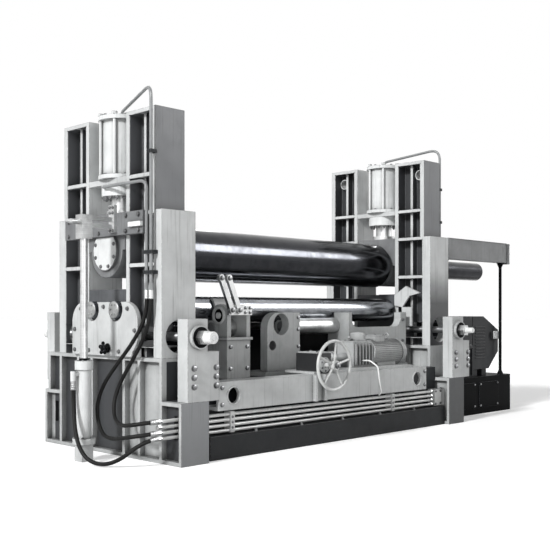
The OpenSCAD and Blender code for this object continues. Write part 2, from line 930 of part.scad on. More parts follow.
// Yoke stand: a block with two round-headed arms and a cap that hugs the lower roll
module yoke_stand() {
  lip = 20;
  lip_t = 30;
  cap_t = 26;
  cap_share = 1.3;
  cap_r = lower_roll_d / 2 + end_gap;
  yoke_arm_w = stand_front - backup_y;
  arm_y = -(stand_front + backup_y) / 2;
  block(yoke_x, yoke_x + yoke_w, -stand_front, -stand_rear, bed_h, yoke_block_top - lip_t);
  block(yoke_x - lip, yoke_x + yoke_w + lip, -stand_front - lip, -stand_rear,
        yoke_block_top - lip_t, yoke_block_top);
  for (x = [yoke_x, yoke_x + yoke_w - cheek_t])
    intersection() {
      cheek(x, yoke_block_top, yoke_top);
      along_x(x, x + cheek_t) {
        translate([-stand_front, yoke_block_top])
          square([stand_front - stand_rear, backup_z + backup_journal_d - yoke_block_top]);
        translate([-stand_front, yoke_block_top])
          square([yoke_arm_w, yoke_top - yoke_arm_w / 2 - yoke_block_top]);
        translate([arm_y, yoke_top - yoke_arm_w / 2])
          circle(d = yoke_arm_w);
      }
    }
  along_x(yoke_x + cheek_t / 2, yoke_x + yoke_w - cheek_t / 2)
    intersection() {
      translate([-lower_roll_y, lower_roll_z])
        difference() {
          circle(r = cap_r + cap_t);
          circle(r = cap_r);
        }
      translate([-stand_front, lower_roll_z - cap_r / 2])
        square([stand_front - lower_roll_y - cap_r / 2, cap_r * cap_share]);
    }
}

// Cheek of a stand, cut back above the backup roller
module stand_cheek(x) {
  difference() {
    cheek(x, bed_h, stand_top);
    block(x - over, x + cheek_t + over, -backup_y, -stand_rear + over,
          backup_z + backup_journal_d, stand_top + over);
  }
}

// Foot plate of a stand
module stand_foot(x0, x1) {
  foot_t = 50;
  foot_front = 30;
  block(x0, x1, -stand_front - foot_front, -stand_rear, bed_h, bed_h + foot_t);
}

// Plate stand with two round holes and one round corner
module plate_stand() {
  x1 = plate_x + plate_w;
  big_share = 0.42;
  small_share = 0.16;
  big_x = plate_x + plate_w * big_share;
  big_z = stand_top - 0.55 * plate_hole_d;
  small_x = plate_x + plate_w * small_share;
  small_z = stand_top - 1.52 * plate_hole_d;
  translate([0, -stand_front + stand_t, 0])
    rotate([90, 0, 0])
      linear_extrude(height = stand_t)
        difference() {
          union() {
            translate([plate_x + plate_corner_r, bed_h])
              square([plate_w - plate_corner_r, stand_top - bed_h]);
            translate([plate_x, bed_h])
              square([plate_w, stand_top - plate_corner_r - bed_h]);
            translate([plate_x + plate_corner_r, stand_top - plate_corner_r])
              circle(r = plate_corner_r);
          }
          translate([big_x, big_z])
            circle(d = plate_hole_d);
          translate([small_x, small_z])
            circle(d = plate_small_d);
        }
  stand_foot(plate_x - cheek_t, x1);
  stand_cheek(x1 - cheek_t);
}

// Saddle stand with a hollow top
module saddle_stand() {
  x1 = saddle_x + saddle_w;
  near_post = 50;
  far_post = 120;
  hollow_x0 = saddle_x + near_post;
  hollow_x1 = x1 - far_post;
  hollow_z = stand_top - saddle_dip;
  translate([0, -stand_front + stand_t, 0])
    rotate([90, 0, 0])
      linear_extrude(height = stand_t)
        difference() {
          translate([saddle_x, bed_h])
            square([saddle_w, stand_top - bed_h]);
          translate([hollow_x0, hollow_z + saddle_r])
            square([hollow_x1 - hollow_x0, saddle_dip]);
          translate([hollow_x0 + saddle_r, hollow_z])
            square([hollow_x1 - hollow_x0 - 2 * saddle_r, saddle_dip]);
          for (x = [hollow_x0 + saddle_r, hollow_x1 - saddle_r])
            translate([x, hollow_z + saddle_r])
              circle(r = saddle_r);
        }
  stand_foot(saddle_x, x1);
  stand_cheek(saddle_x);
}

module front_roll_stands() {
  color(grey) {
    yoke_stand();
    plate_stand();
    saddle_stand();
  }
}

module rear_roll_stands() {
  color(grey)
    mirror([0, 1, 0]) {
      yoke_stand();
      plate_stand();
      saddle_stand();
    }
}

// Outline of a plate guide bar with a round eye at each end
module guide_bar_outline() {
  translate([-guide_w / 2, 0])
    square([guide_w, guide_len]);
  for (z = [0, guide_len])
    translate([0, z])
      circle(d = guide_eye_d);
}

// Pair of plate guide bars on a cross plate in front of the yoke's arms, leaning to the idle end
module guide_bars() {
  plate_h = 110;
  plate_drop = 10;
  plate_top = yoke_top - plate_drop;
  plate_z = plate_top - plate_h;
  pivot_x = yoke_x + cheek_t / 2;
  seat = guide_t / 3;
  color(steel)
    union() {
      block(yoke_x, yoke_x + yoke_w, -stand_front - guide_t, -stand_front, plate_z, plate_top);
      for (x = [pivot_x, pivot_x + guide_gap])
        translate([x, -stand_front - guide_t + seat, (plate_z + plate_top) / 2])
          rotate([0, -guide_lean, 0])
            rotate([90, 0, 0])
              linear_extrude(height = guide_t + seat)
                guide_bar_outline();
    }
}

// Bed between the housings: deck, webs and foot rails
module bed_frame() {
  color(dark)
    along_x(inner_left, inner_right) {
      translate([-bed_half, bed_h - bed_plate_t])
        square([2 * bed_half, bed_plate_t]);
      for (y = [-bed_half, bed_half - bed_plate_t])
        translate([y, 0])
          square([bed_plate_t, bed_h]);
      for (y = [-bed_half - rail_w, bed_half])
        translate([y, 0])
          square([rail_w, rail_h]);
    }
}

// Channel beam along the bed, with a round hole near each end
module bed_beam(ribs) {
  x0 = -half_pitch + bracket_x0 + bracket_w;
  x1 = inner_right - beam_short;
  hole_z = (beam_z + beam_top) / 2;
  rib_left = 235;
  rib_x = wheel_x - rib_left;
  rib_gap = 155;
  rib_w = 30;
  rib_out = 55;
  union() {
    difference() {
      block(x0, x1, -beam_front, -beam_front + beam_t, beam_z, beam_top);
      for (x = [x0 + beam_hole_in, x1 - beam_hole_in])
        bar_y(beam_hole_d, x, -beam_front - over, -beam_front + beam_t + over, hole_z);
    }
    for (z = [beam_z, beam_top - beam_t])
      block(x0, x1, -beam_front, -bed_half, z, z + beam_t);
    if (ribs)
      for (x = [rib_x, rib_x + rib_gap])
        block(x, x + rib_w, -beam_front - rib_out, -beam_front, beam_z, beam_top);
  }
}

module front_bed_beam() {
  color(grey)
    bed_beam(true);
}

module rear_bed_beam() {
  color(grey)
    mirror([0, 1, 0])
      bed_beam(false);
}

// Four pipes along the front of the bed, with two clamps and a coupling block
module base_pipes() {
  x0 = left_side - stub_len;
  pipe_end = 20;
  x1 = inner_right - pipe_end;
  clamp_w = 60;
  clamp_low = 5;
  clamp_high = 10;
  clamp_front = 8;
  coupling_front = 6;
  coupling_w = 150;
  left_clamp = 320;
  right_clamp = 1080;
  low = pipe_z - pipe_d / 2 - clamp_low;
  high = pipe_z + 3 * pipe_pitch + pipe_d / 2 + clamp_high;
  color(steel)
    union() {
      for (i = [0 : 3])
        bar_x(pipe_d, x0, x1, -pipe_y, pipe_z + i * pipe_pitch);
      for (x = [inner_left + left_clamp, inner_right - right_clamp])
        block(x, x + clamp_w, -pipe_y - pipe_d / 2 - clamp_front, -bed_half, low, high);
      block(x1 - coupling_w, x1, -pipe_y - pipe_d - coupling_front, -bed_half, low, high);
    }
}

// Riser pipes from the idle end lift cylinder down its front column
riser_off = 55;
riser_pitch = 70;
left_riser_x = left_side - riser_off;
riser_a_y = -upper_depth / 2;
riser_b_y = riser_a_y + riser_pitch;
riser_end_z = 1700;
socket_wall = 7;
end_over = 15;
socket_d = hose_d + 2 * socket_wall;
socket_h = 70;
port_rise = 60;
top_rise = 185;
pipe_foot = max(lift_top, housing_h + end_over);
port_top = pipe_foot + port_rise;
riser_top = pipe_foot + top_rise;

module left_riser_pipes() {
  press_x = -half_pitch + press_shift;
  port_up = 90;
  port_z = seat_z - gland_h + port_up;
  color(steel) {
    union() {
      pipe_run([[press_x, 0, lift_top], [press_x, 0, port_top], [left_riser_x, riser_a_y, riser_top],
                [left_riser_x, riser_a_y, riser_end_z]], pipe_d);
      bar_z(socket_d, left_riser_x, riser_a_y, riser_end_z, riser_end_z + socket_h);
    }
    union() {
      pipe_run([[press_x - gland_d / 2, 0, port_z], [left_riser_x, 0, port_z],
                [left_riser_x, riser_b_y, port_z], [left_riser_x, riser_b_y, riser_end_z]], pipe_d);
      bar_z(socket_d, left_riser_x, riser_b_y, riser_end_z, riser_end_z + socket_h);
    }
  }
}

// Riser pipe from the drive end lift cylinder down its front column
module right_riser_pipe() {
  press_x = half_pitch + press_shift;
  riser_gap = 30;
  riser_in = 20;
  riser_x = press_x + upper_w / 2 + riser_gap;
  riser_y = riser_a_y + riser_in;
  color(steel)
    pipe_run([[press_x, 0, lift_top], [press_x, 0, port_top], [riser_x, riser_y, riser_top],
              [riser_x, riser_y, lower_h]], pipe_d);
}

// Adjuster gearbox: worm box behind the handwheel, cross shaft and finned case
module adjuster_gearbox() {
  worm_half = worm_w / 2;
  worm_rise = 130;
  worm_top = wheel_z + worm_rise;
  plate_top = beam_top + adjuster_plate_t;
  case_half = 130;
  case_top = plate_top + case_h;
  fins = 6;
  fin_t = 16;
  fin_out = 25;
  fin_pitch = case_w / fins;
  fin_low = 30;
  fin_high = 20;
  shaft_d = 90;
  shaft_in = 10;
  shaft_drop = 40;
  dome_share = 1.4;
  plate_left = 40;
  plate_back = 170;
  color(grey)
    union() {
      difference() {
        block(wheel_x - worm_half, wheel_x + worm_half, -worm_front, -worm_front + worm_depth,
              beam_top, worm_top);
        bar_y(wheel_shaft_d + 2 * journal_clear, wheel_x, -worm_front - over, -worm_front + worm_bore,
              wheel_z);
      }
      bar_x(shaft_d, wheel_x + worm_half - shaft_in, case_x + shaft_in, -motor_y, motor_z - shaft_drop);
      block(case_x, case_x1, -motor_y - case_half, -motor_y + case_half, beam_top, case_top);
      for (i = [0 : fins - 1])
        block(case_x + fin_pitch * (i + 0.5) - fin_t / 2, case_x + fin_pitch * (i + 0.5) + fin_t / 2,
              -motor_y - case_half - fin_out, -motor_y + case_half + fin_out,
              plate_top + fin_low, case_top - fin_high);
      bar_z(case_half * dome_share, case_x1 - case_half, -motor_y, case_top, case_top + dome_h);
      block(wheel_x - worm_half - plate_left, case_x1 + motor_len, -worm_front, -motor_y + plate_back,
            beam_top, plate_top);
    }
}

// Adjuster motor with its fan cover and terminal box
module adjuster_motor() {
  x0 = case_x1;
  x1 = x0 + motor_len;
  fan_share = 0.86;
  foot_in = 120;
  foot_half = 110;
  box_half = 80;
  box_len = 180;
  box_h = 50;
  color(grey)
    union() {
      bar_x(motor_d, x0, x1, -motor_y, motor_z);
      bar_x(motor_d * fan_share, x1, x1 + fan_len, -motor_y, motor_z);
      block(x0 + foot_in, x1 - foot_in, -motor_y - foot_half, -motor_y + foot_half,
            beam_top + adjuster_plate_t, motor_z);
      block(x0 + foot_in, x0 + foot_in + box_len, -motor_y - box_half, -motor_y + box_half,
            motor_z, motor_z + motor_d / 2 + box_h);
    }
}

// Handwheel with its shaft
module handwheel() {
  hub_d = 110;
  hub_h = 80;
  spoke_root = hub_d * 0.35;
  spoke_d = rim_d * 0.75;
  first_spoke = -85;
  shaft_short = 10;
  rim_r = (wheel_d - rim_d) / 2;
  color(steel)
    translate([wheel_x, -wheel_y, wheel_z])
      rotate([-90, 0, 0])
        union() {
          rotate_extrude()
            translate([rim_r, 0])
              circle(d = rim_d);
          translate([0, 0, -hub_h / 2])
            cylinder(d = hub_d, h = hub_h);
          for (i = [0 : spokes - 1])
            rotate([0, 0, first_spoke + i * 360 / spokes])
              translate([spoke_root, 0, 0])
                rotate([0, 90, 0])
                  cylinder(d = spoke_d, h = rim_r - spoke_root);
          cylinder(d = wheel_shaft_d, h = wheel_y - worm_front + worm_bore - shaft_short);
        }
}

// Cable arm from the drive end housing
arm_in = 20;
arm_y0 = -lower_depth / 2 + arm_in;

module cable_arm() {
  end_t = 25;
  end_lip = 25;
  end_drop = 20;
  end_x = right_side + arm_len;
  color(grey)
    union() {
      block(right_side, end_x, arm_y0, arm_y0 + arm_w, lower_h - arm_h, lower_h);
      block(end_x, end_x + end_t, arm_y0 - end_lip, arm_y0 + arm_w + end_lip,
            lower_h - arm_h - end_drop, lower_h);
    }
}

// Conduit between the cable arm and the plinth, with a tapered gland at each end
module conduit() {
  conduit_in = 90;
  flare_d = 2.4 * conduit_d;
  x = right_side + arm_len - conduit_in;
  y = arm_y0 + arm_w / 2;
  top = lower_h - arm_h;
  taper_h = 70;
  color(black)
    union() {
      bar_z(conduit_d, x, y, plinth_h, top);
      translate([x, y, top - taper_h])
        cylinder(d1 = conduit_d, d2 = flare_d, h = taper_h);
      translate([x, y, plinth_h])
        cylinder(d1 = flare_d, d2 = conduit_d, h = taper_h);
    }
}

// Plinth under the drive
module drive_plinth() {
  plinth_gap = 10;
  color(black)
    block(right_side + plinth_gap, right_side + plinth_len, -plinth_front, plinth_back, 0, plinth_h);
}

// Gear case over the lower rolls' drive journals
module gear_case() {
  x0 = right_side;
  x1 = right_side + gear_case_len;
  chamfer = 120;
  bore_room = 40;
  color(dark)
    difference() {
      along_x(x0, x1)
        polygon([[-gear_case_half, plinth_h], [gear_case_half, plinth_h],
                 [gear_case_half, gear_case_top - chamfer], [gear_case_half - chamfer, gear_case_top],
                 [-gear_case_half + chamfer, gear_case_top], [-gear_case_half, gear_case_top - chamfer]]);
      for (y = [-lower_roll_y, lower_roll_y])
        bar_x(lower_journal_d + 2 * journal_clear, x0 - over, x0 + drive_journal_len + bore_room,
              y, lower_roll_z);
    }
}

// Reducer beside the gear case, under a chamfered hood
reducer_out = 60;
reducer_x0 = right_side + reducer_out;
reducer_x1 = reducer_x0 + reducer_len;
drive_depth = plinth_front - drive_inset - gear_case_half;

module reducer() {
  chamfer = 100;
  color(black)
    translate([0, -gear_case_half, 0])
      rotate([90, 0, 0])
        linear_extrude(height = drive_depth)
          polygon([[reducer_x0, plinth_h], [reducer_x1, plinth_h], [reducer_x1, reducer_top],
                   [reducer_x0 + chamfer, reducer_top], [reducer_x0, reducer_top + chamfer]]);
}

// Drive motor: a hood with cut corners on two feet, and a terminal box
module drive_motor() {
  hood_gap = 15;
  x0 = reducer_x1 + hood_gap;
  x1 = x0 + motor_hood_len;
  low_z = plinth_h + motor_foot_h;
  high_cut = 415;
  high_drop = 205;
  low_cut = 270;
  low_rise = 250;
  pad_w = 120;
  pad_in = 30;
  near_in = 40;
  far_in = 20;
  near_pad = x0 + near_in;
  far_pad = x1 - low_cut - pad_w - far_in;
  root = 10;
  box_w = 170;
  box_h = 110;
  box_out = 40;
  box_in = 30;
  box_drop = 20;
  box_x = x1 - box_w - box_in;
  box_z = reducer_top - high_drop - box_h - box_drop;
  color(black)
    translate([0, -gear_case_half, 0])
      rotate([90, 0, 0])
        union() {
          linear_extrude(height = drive_depth)
            polygon([[x0, low_z], [x1 - low_cut, low_z], [x1, low_z + low_rise],
                     [x1, reducer_top - high_drop], [x1 - high_cut, reducer_top], [x0, reducer_top]]);
          for (x = [near_pad, far_pad])
            translate([x, plinth_h, pad_in])
              cube([pad_w, motor_foot_h + root, drive_depth - 2 * pad_in]);
          translate([box_x, box_z, drive_depth - root])
            cube([box_w, box_h, box_out + root]);
        }
}

// Balance cylinder on its pedestal, outside the idle end
balance_x = left_side - balance_out;

module balance_cylinder() {
  foot_t = 30;
  foot_d = 1.5 * balance_d;
  head_d = 1.2 * balance_d;
  head_h = 90;
  port_d = 48;
  port_out = 125;
  port_drop = 130;
  port_z = balance_top - port_drop;
  socket_drop = 200;
  socket_z = balance_top - socket_drop;
  socket_len = 100;
  bore_rise = 40;
  color(steel)
    difference() {
      union() {
        block(balance_x - pedestal_w / 2, balance_x + pedestal_w / 2,
              -balance_y - pedestal_w / 2, -balance_y + pedestal_w / 2, 0, pedestal_h - foot_t);
        bar_z(foot_d, balance_x, -balance_y, pedestal_h - foot_t, pedestal_h + foot_t);
        bar_z(balance_d, balance_x, -balance_y, pedestal_h, balance_top);
        bar_z(head_d, balance_x, -balance_y, balance_top - head_h, balance_top);
        bar_x(port_d, balance_x - port_out, balance_x, -balance_y, port_z);
        bar_z(socket_d, balance_x - port_out, -balance_y, socket_z, socket_z + socket_len);
      }
      bar_z(rod_d + 2 * rod_clear, balance_x, -balance_y, pedestal_h + bore_rise, balance_top + over);
    }
}

// Balance rod with its bracket: a block with a pin, and two bars to a plate on the keeper
module balance_rod() {
  half = lug_w / 2;
  plate_t = 36;
  plate_half = 48;
  plate_rise = 84;
  plate_z = lug_z + plate_rise;
  plate_h = 280;
  bar_half = 30;
  bar_rise = 120;
  bar_drop = 4;
  bar_low = lug_z + bar_rise;
  bar_high = lug_z + lug_h - lug_bar_t - bar_drop;
  pin_d = 52;
  pin_tip_d = 0.4 * pin_d;
  pin_taper = 60;
  pin_rise = 168;
  pin_z = lug_z + pin_rise;
  pin_x = balance_x - half - lug_pin_len;
  rod_rise = 150;
  rod_low = pedestal_h + rod_rise;
  rod_root = 10;
  color(steel)
    union() {
      block(balance_x - half, balance_x + half, -balance_y - half, -balance_y + half, lug_z, lug_z + lug_h);
      for (z = [bar_low, bar_high])
        block(balance_x, keeper_face, -balance_y - bar_half, -balance_y + bar_half, z, z + lug_bar_t);
      block(keeper_face - plate_t, keeper_face, -balance_y - plate_half, -balance_y + plate_half,
            plate_z, plate_z + plate_h);
      bar_x(pin_d, pin_x + pin_taper, balance_x, -balance_y, pin_z);
      translate([pin_x, -balance_y, pin_z])
        rotate([0, 90, 0])
          cylinder(d1 = pin_tip_d, d2 = pin_d, h = pin_taper);
      bar_z(rod_d, balance_x, -balance_y, rod_low, lug_z + rod_root);
    }
}

// Rings of a hose: each stands square to the route at its own point
hose_sides = 10;
function ahead(r, i) =
  let (a = r[max(i - 1, 0)], b = r[min(i + 1, len(r) - 1)], d = b - a)
  d / norm(d);
function ring_side(t) =
  let (s = abs(t[0]) < 0.8 ? cross(t, [1, 0, 0]) : cross(t, [0, 0, 1]))
  s / norm(s);
function ring(r, i, d) =
  let (t = i == 0 ? start_way(r) : i == len(r) - 1 ? end_way(r) : ahead(r, i),
       u = ring_side(t), v = cross(t, u))
  [for (k = [0 : hose_sides - 1])
    let (a = 360 * k / hose_sides)
    r[i] + d / 2 * (cos(a) * u + sin(a) * v)];
function start_way(r) = (r[1] - r[0]) / norm(r[1] - r[0]);
function end_way(r) = (r[len(r) - 1] - r[len(r) - 2]) / norm(r[len(r) - 1] - r[len(r) - 2]);

module hose(route) {
  n = len(route);
  points = [for (i = [0 : n - 1]) each ring(route, i, hose_d)];
  sides = [for (i = [0 : n - 2], k = [0 : hose_sides - 1])
    let (a = i * hose_sides + k, b = i * hose_sides + (k + 1) % hose_sides)
    [b, a, a + hose_sides, b + hose_sides]];
  first = [[for (k = [0 : hose_sides - 1]) k]];
  last = [[for (k = [0 : hose_sides - 1]) n * hose_sides - 1 - k]];
  polyhedron(points = points, faces = concat(sides, first, last));
}

hose_a_route = [
  [-2540, -750, 1700], [-2540, -750, 1610], [-2542, -741, 1507], [-2550, -714, 1408], [-2563, -671, 1315],
  [-2581, -617, 1228], [-2601, -559, 1145], [-2623, -496, 1065], [-2645, -432, 987], [-2665, -367, 909],
  [-2684, -305, 829], [-2703, -251, 743], [-2723, -215, 648], [-2744, -205, 547], [-2763, -230, 449],
  [-2783, -286, 365], [-2807, -365, 303], [-2832, -458, 268], [-2855, -559, 258], [-2870, -661, 261],
  [-2879, -763, 272], [-2880, -865, 290], [-2858, -964, 308], [-2793, -1041, 323], [-2695, -1070, 330],
  [-2655, -1070, 330]];
hose_b_route = [
  [-2540, -820, 1700], [-2540, -820, 1610], [-2542, -814, 1509], [-2546, -795, 1410], [-2552, -764, 1314],
  [-2561, -721, 1223], [-2571, -671, 1136], [-2583, -616, 1052], [-2596, -560, 969], [-2611, -505, 886],
  [-2628, -455, 800], [-2649, -418, 708], [-2675, -404, 612], [-2703, -429, 519], [-2734, -490, 445],
  [-2769, -576, 407], [-2804, -670, 396], [-2837, -765, 396], [-2861, -863, 405], [-2849, -961, 419],
  [-2789, -1039, 434], [-2695, -1070, 440], [-2655, -1070, 440]];
balance_hose_route = [
  [-3040, -220, 800], [-3040, -220, 720], [-3041, -225, 631], [-3046, -239, 543], [-3054, -260, 456],
  [-3063, -286, 371], [-3070, -319, 288], [-3073, -359, 208], [-3067, -409, 135], [-3052, -473, 74],
  [-3028, -551, 39], [-3000, -635, 28], [-2970, -719, 39], [-2940, -797, 68], [-2909, -870, 110],
  [-2876, -935, 162], [-2836, -997, 213], [-2778, -1049, 254], [-2695, -1070, 275], [-2655, -1070, 275]];

module riser_hose_a() {
  color(black)
    hose(hose_a_route);
}

module riser_hose_b() {
  color(black)
    hose(hose_b_route);
}

module balance_hose() {
  color(black)
    hose(balance_hose_route);
}

left_front_column();
left_rear_column();
right_front_column();
right_rear_column();
left_crosshead();
right_crosshead();
left_base();
right_base();
left_screw_brackets();
right_screw_brackets();
left_feed_screws();
right_feed_screws();
left_lift_cylinder();
right_lift_cylinder();
left_ram();
right_ram();
left_top_chock();
right_top_chock();
top_roll();
left_lower_chock();
right_lower_chock();
lower_chock_cover();
front_lower_roll();
rear_lower_roll();
front_backup_rollers();
rear_backup_rollers();
front_roll_stands();
rear_roll_stands();
guide_bars();
bed_frame();
front_bed_beam();
rear_bed_beam();
base_pipes();
left_riser_pipes();
right_riser_pipe();
adjuster_gearbox();
adjuster_motor();
handwheel();
cable_arm();
conduit();
drive_plinth();
gear_case();
reducer();
drive_motor();
balance_cylinder();
balance_rod();
riser_hose_a();
riser_hose_b();
balance_hose();
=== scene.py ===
"""Looks of a hydraulic plate bending machine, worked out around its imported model.

Metres, +X along the rolls towards the drive end, +Y to the back, +Z up.
"""
import logging
import math
from dataclasses import dataclass, replace
from enum import Enum
from functools import reduce
from typing import Protocol, Sequence

import bmesh
import bpy
import numpy as np
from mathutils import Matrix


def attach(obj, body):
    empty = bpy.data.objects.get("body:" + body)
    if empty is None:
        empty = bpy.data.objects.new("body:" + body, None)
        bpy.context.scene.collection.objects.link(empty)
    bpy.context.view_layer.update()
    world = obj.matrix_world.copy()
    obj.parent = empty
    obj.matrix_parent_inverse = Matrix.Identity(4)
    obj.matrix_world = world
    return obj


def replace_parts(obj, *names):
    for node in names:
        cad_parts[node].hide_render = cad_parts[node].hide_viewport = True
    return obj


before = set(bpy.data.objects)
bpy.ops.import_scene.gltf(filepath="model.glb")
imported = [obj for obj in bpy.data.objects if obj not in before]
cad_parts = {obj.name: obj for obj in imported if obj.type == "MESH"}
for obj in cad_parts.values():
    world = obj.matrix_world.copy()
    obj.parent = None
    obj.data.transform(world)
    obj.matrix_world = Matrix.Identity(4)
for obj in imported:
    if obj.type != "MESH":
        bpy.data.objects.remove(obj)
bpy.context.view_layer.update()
log = logging.getLogger("bending_machine")

SHARP_ANGLE = math.radians(35)
Vec = tuple[float, float, float]


class Body(Enum):
    """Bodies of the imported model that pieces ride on."""

    FRAME = "frame"
    PRESS = "press"
    FRONT_ROLL = "front_roll"
    REAR_ROLL = "rear_roll"
    HANDWHEEL = "handwheel"


class Axis(Enum):
    """Directions along which bolts, shafts and patterns point."""

    X = (1.0, 0.0, 0.0)
    Y = (0.0, 1.0, 0.0)
    Z = (0.0, 0.0, 1.0)
    LEFT = (-1.0, 0.0, 0.0)
    FRONT = (0.0, -1.0, 0.0)
    DOWN = (0.0, 0.0, -1.0)


def linear(code: str) -> tuple[float, float, float, float]:
    """Turn an sRGB hex colour into the linear one that shaders take.

    Args:
        code: Colour as #RRGGBB.

    Returns:
        Linear red, green, blue and a full alpha.
    """
    shares = (int(code[i:i + 2], 16) / 255 for i in (1, 3, 5))
    r, g, b = (c / 12.92 if c <= 0.04045 else ((c + 0.055) / 1.055) ** 2.4 for c in shares)
    return r, g, b, 1.0


def add(tree: bpy.types.NodeTree, kind: str, values: dict | None = None, links: dict | None = None,
        **options: object) -> bpy.types.Node:
    """Add a node, set its options and sockets, and link what feeds it.

    Args:
        tree: Node tree of the material.
        kind: Blender's name for the node.
        values: Socket name or number to constant.
        links: Socket name or number to the output that feeds it.
        options: Settings of the node itself.

    Returns:
        The new node.
    """
    node = tree.nodes.new(kind)
    for name, value in options.items():
        setattr(node, name, value)
    for key, value in (values or {}).items():
        node.inputs[key].default_value = value
    for key, socket in (links or {}).items():
        tree.links.new(socket, node.inputs[key])
    return node


def blank(name: str) -> tuple[bpy.types.Material, bpy.types.NodeTree, bpy.types.Node, bpy.types.NodeSocket]:
    """Start a material.

    Args:
        name: Name of the real material.

    Returns:
        The material, its tree, its shader and the object coordinates.
    """
    material = bpy.data.materials.new(name)
    material.use_nodes = True
    tree = material.node_tree
    shader = tree.nodes["Principled BSDF"]
    return material, tree, shader, add(tree, "ShaderNodeTexCoord").outputs["Object"]


def wire(tree: bpy.types.NodeTree, shader: bpy.types.Node, colour: bpy.types.NodeSocket,
         rough: bpy.types.NodeSocket, bump: bpy.types.NodeSocket) -> None:
    """Link a finish's colour, roughness and bump to its shader.

    Args:
        tree: Node tree of the material.
        shader: Shader of the material.
        colour: Output that gives the colour.
        rough: Output that gives the roughness.
        bump: Output that gives the bumped normal.
    """
    for socket, output in (("Base Color", colour), ("Roughness", rough), ("Normal", bump)):
        tree.links.new(output, shader.inputs[socket])


@dataclass(frozen=True)
class Panels:
    """Faces with a coat of their own, such as the painted shade on the sunk webs between pale flanges.

    Attributes:
        along: Ranges of X that they fill.
        across: Ranges of Y that they fill.
        coat: Colour of their coat, on most panels a painted shade.
        top: Height that they end at.
        fade: Height below the top in which the coat comes in.
    """

    along: tuple[tuple[float, float], ...]
    across: tuple[tuple[float, float], ...]
    coat: str
    top: float
    fade: float = 0.001

    def mask(self, tree: bpy.types.NodeTree, place: bpy.types.NodeSocket) -> bpy.types.NodeSocket:
        """Give 1 in the panels: in one of the ranges of X, in one of the ranges of Y and below the top.

        Args:
            tree: Node tree of the material.
            place: Object coordinates.

        Returns:
            Output that is 1 in the panels and 0 outside.
        """
        parts = add(tree, "ShaderNodeSeparateXYZ", links={0: place}).outputs
        found = []
        for part, ranges in zip(parts[:2], (self.along, self.across)):
            inside = [add(tree, "ShaderNodeMath", {1: (low + high) / 2, 2: (high - low) / 2}, {0: part},
                          operation="COMPARE").outputs[0] for low, high in ranges]
            found.append(reduce(lambda a, b: add(tree, "ShaderNodeMath", {}, {0: a, 1: b},
                                                 operation="MAXIMUM").outputs[0], inside))
        below = add(tree, "ShaderNodeMapRange", {1: self.top, 2: self.top - self.fade},
                    {0: parts[2]}).outputs[0]
        flat = add(tree, "ShaderNodeMath", {}, {0: found[0], 1: found[1]}, operation="MULTIPLY").outputs[0]
        return add(tree, "ShaderNodeMath", {}, {0: flat, 1: below}, operation="MULTIPLY").outputs[0]


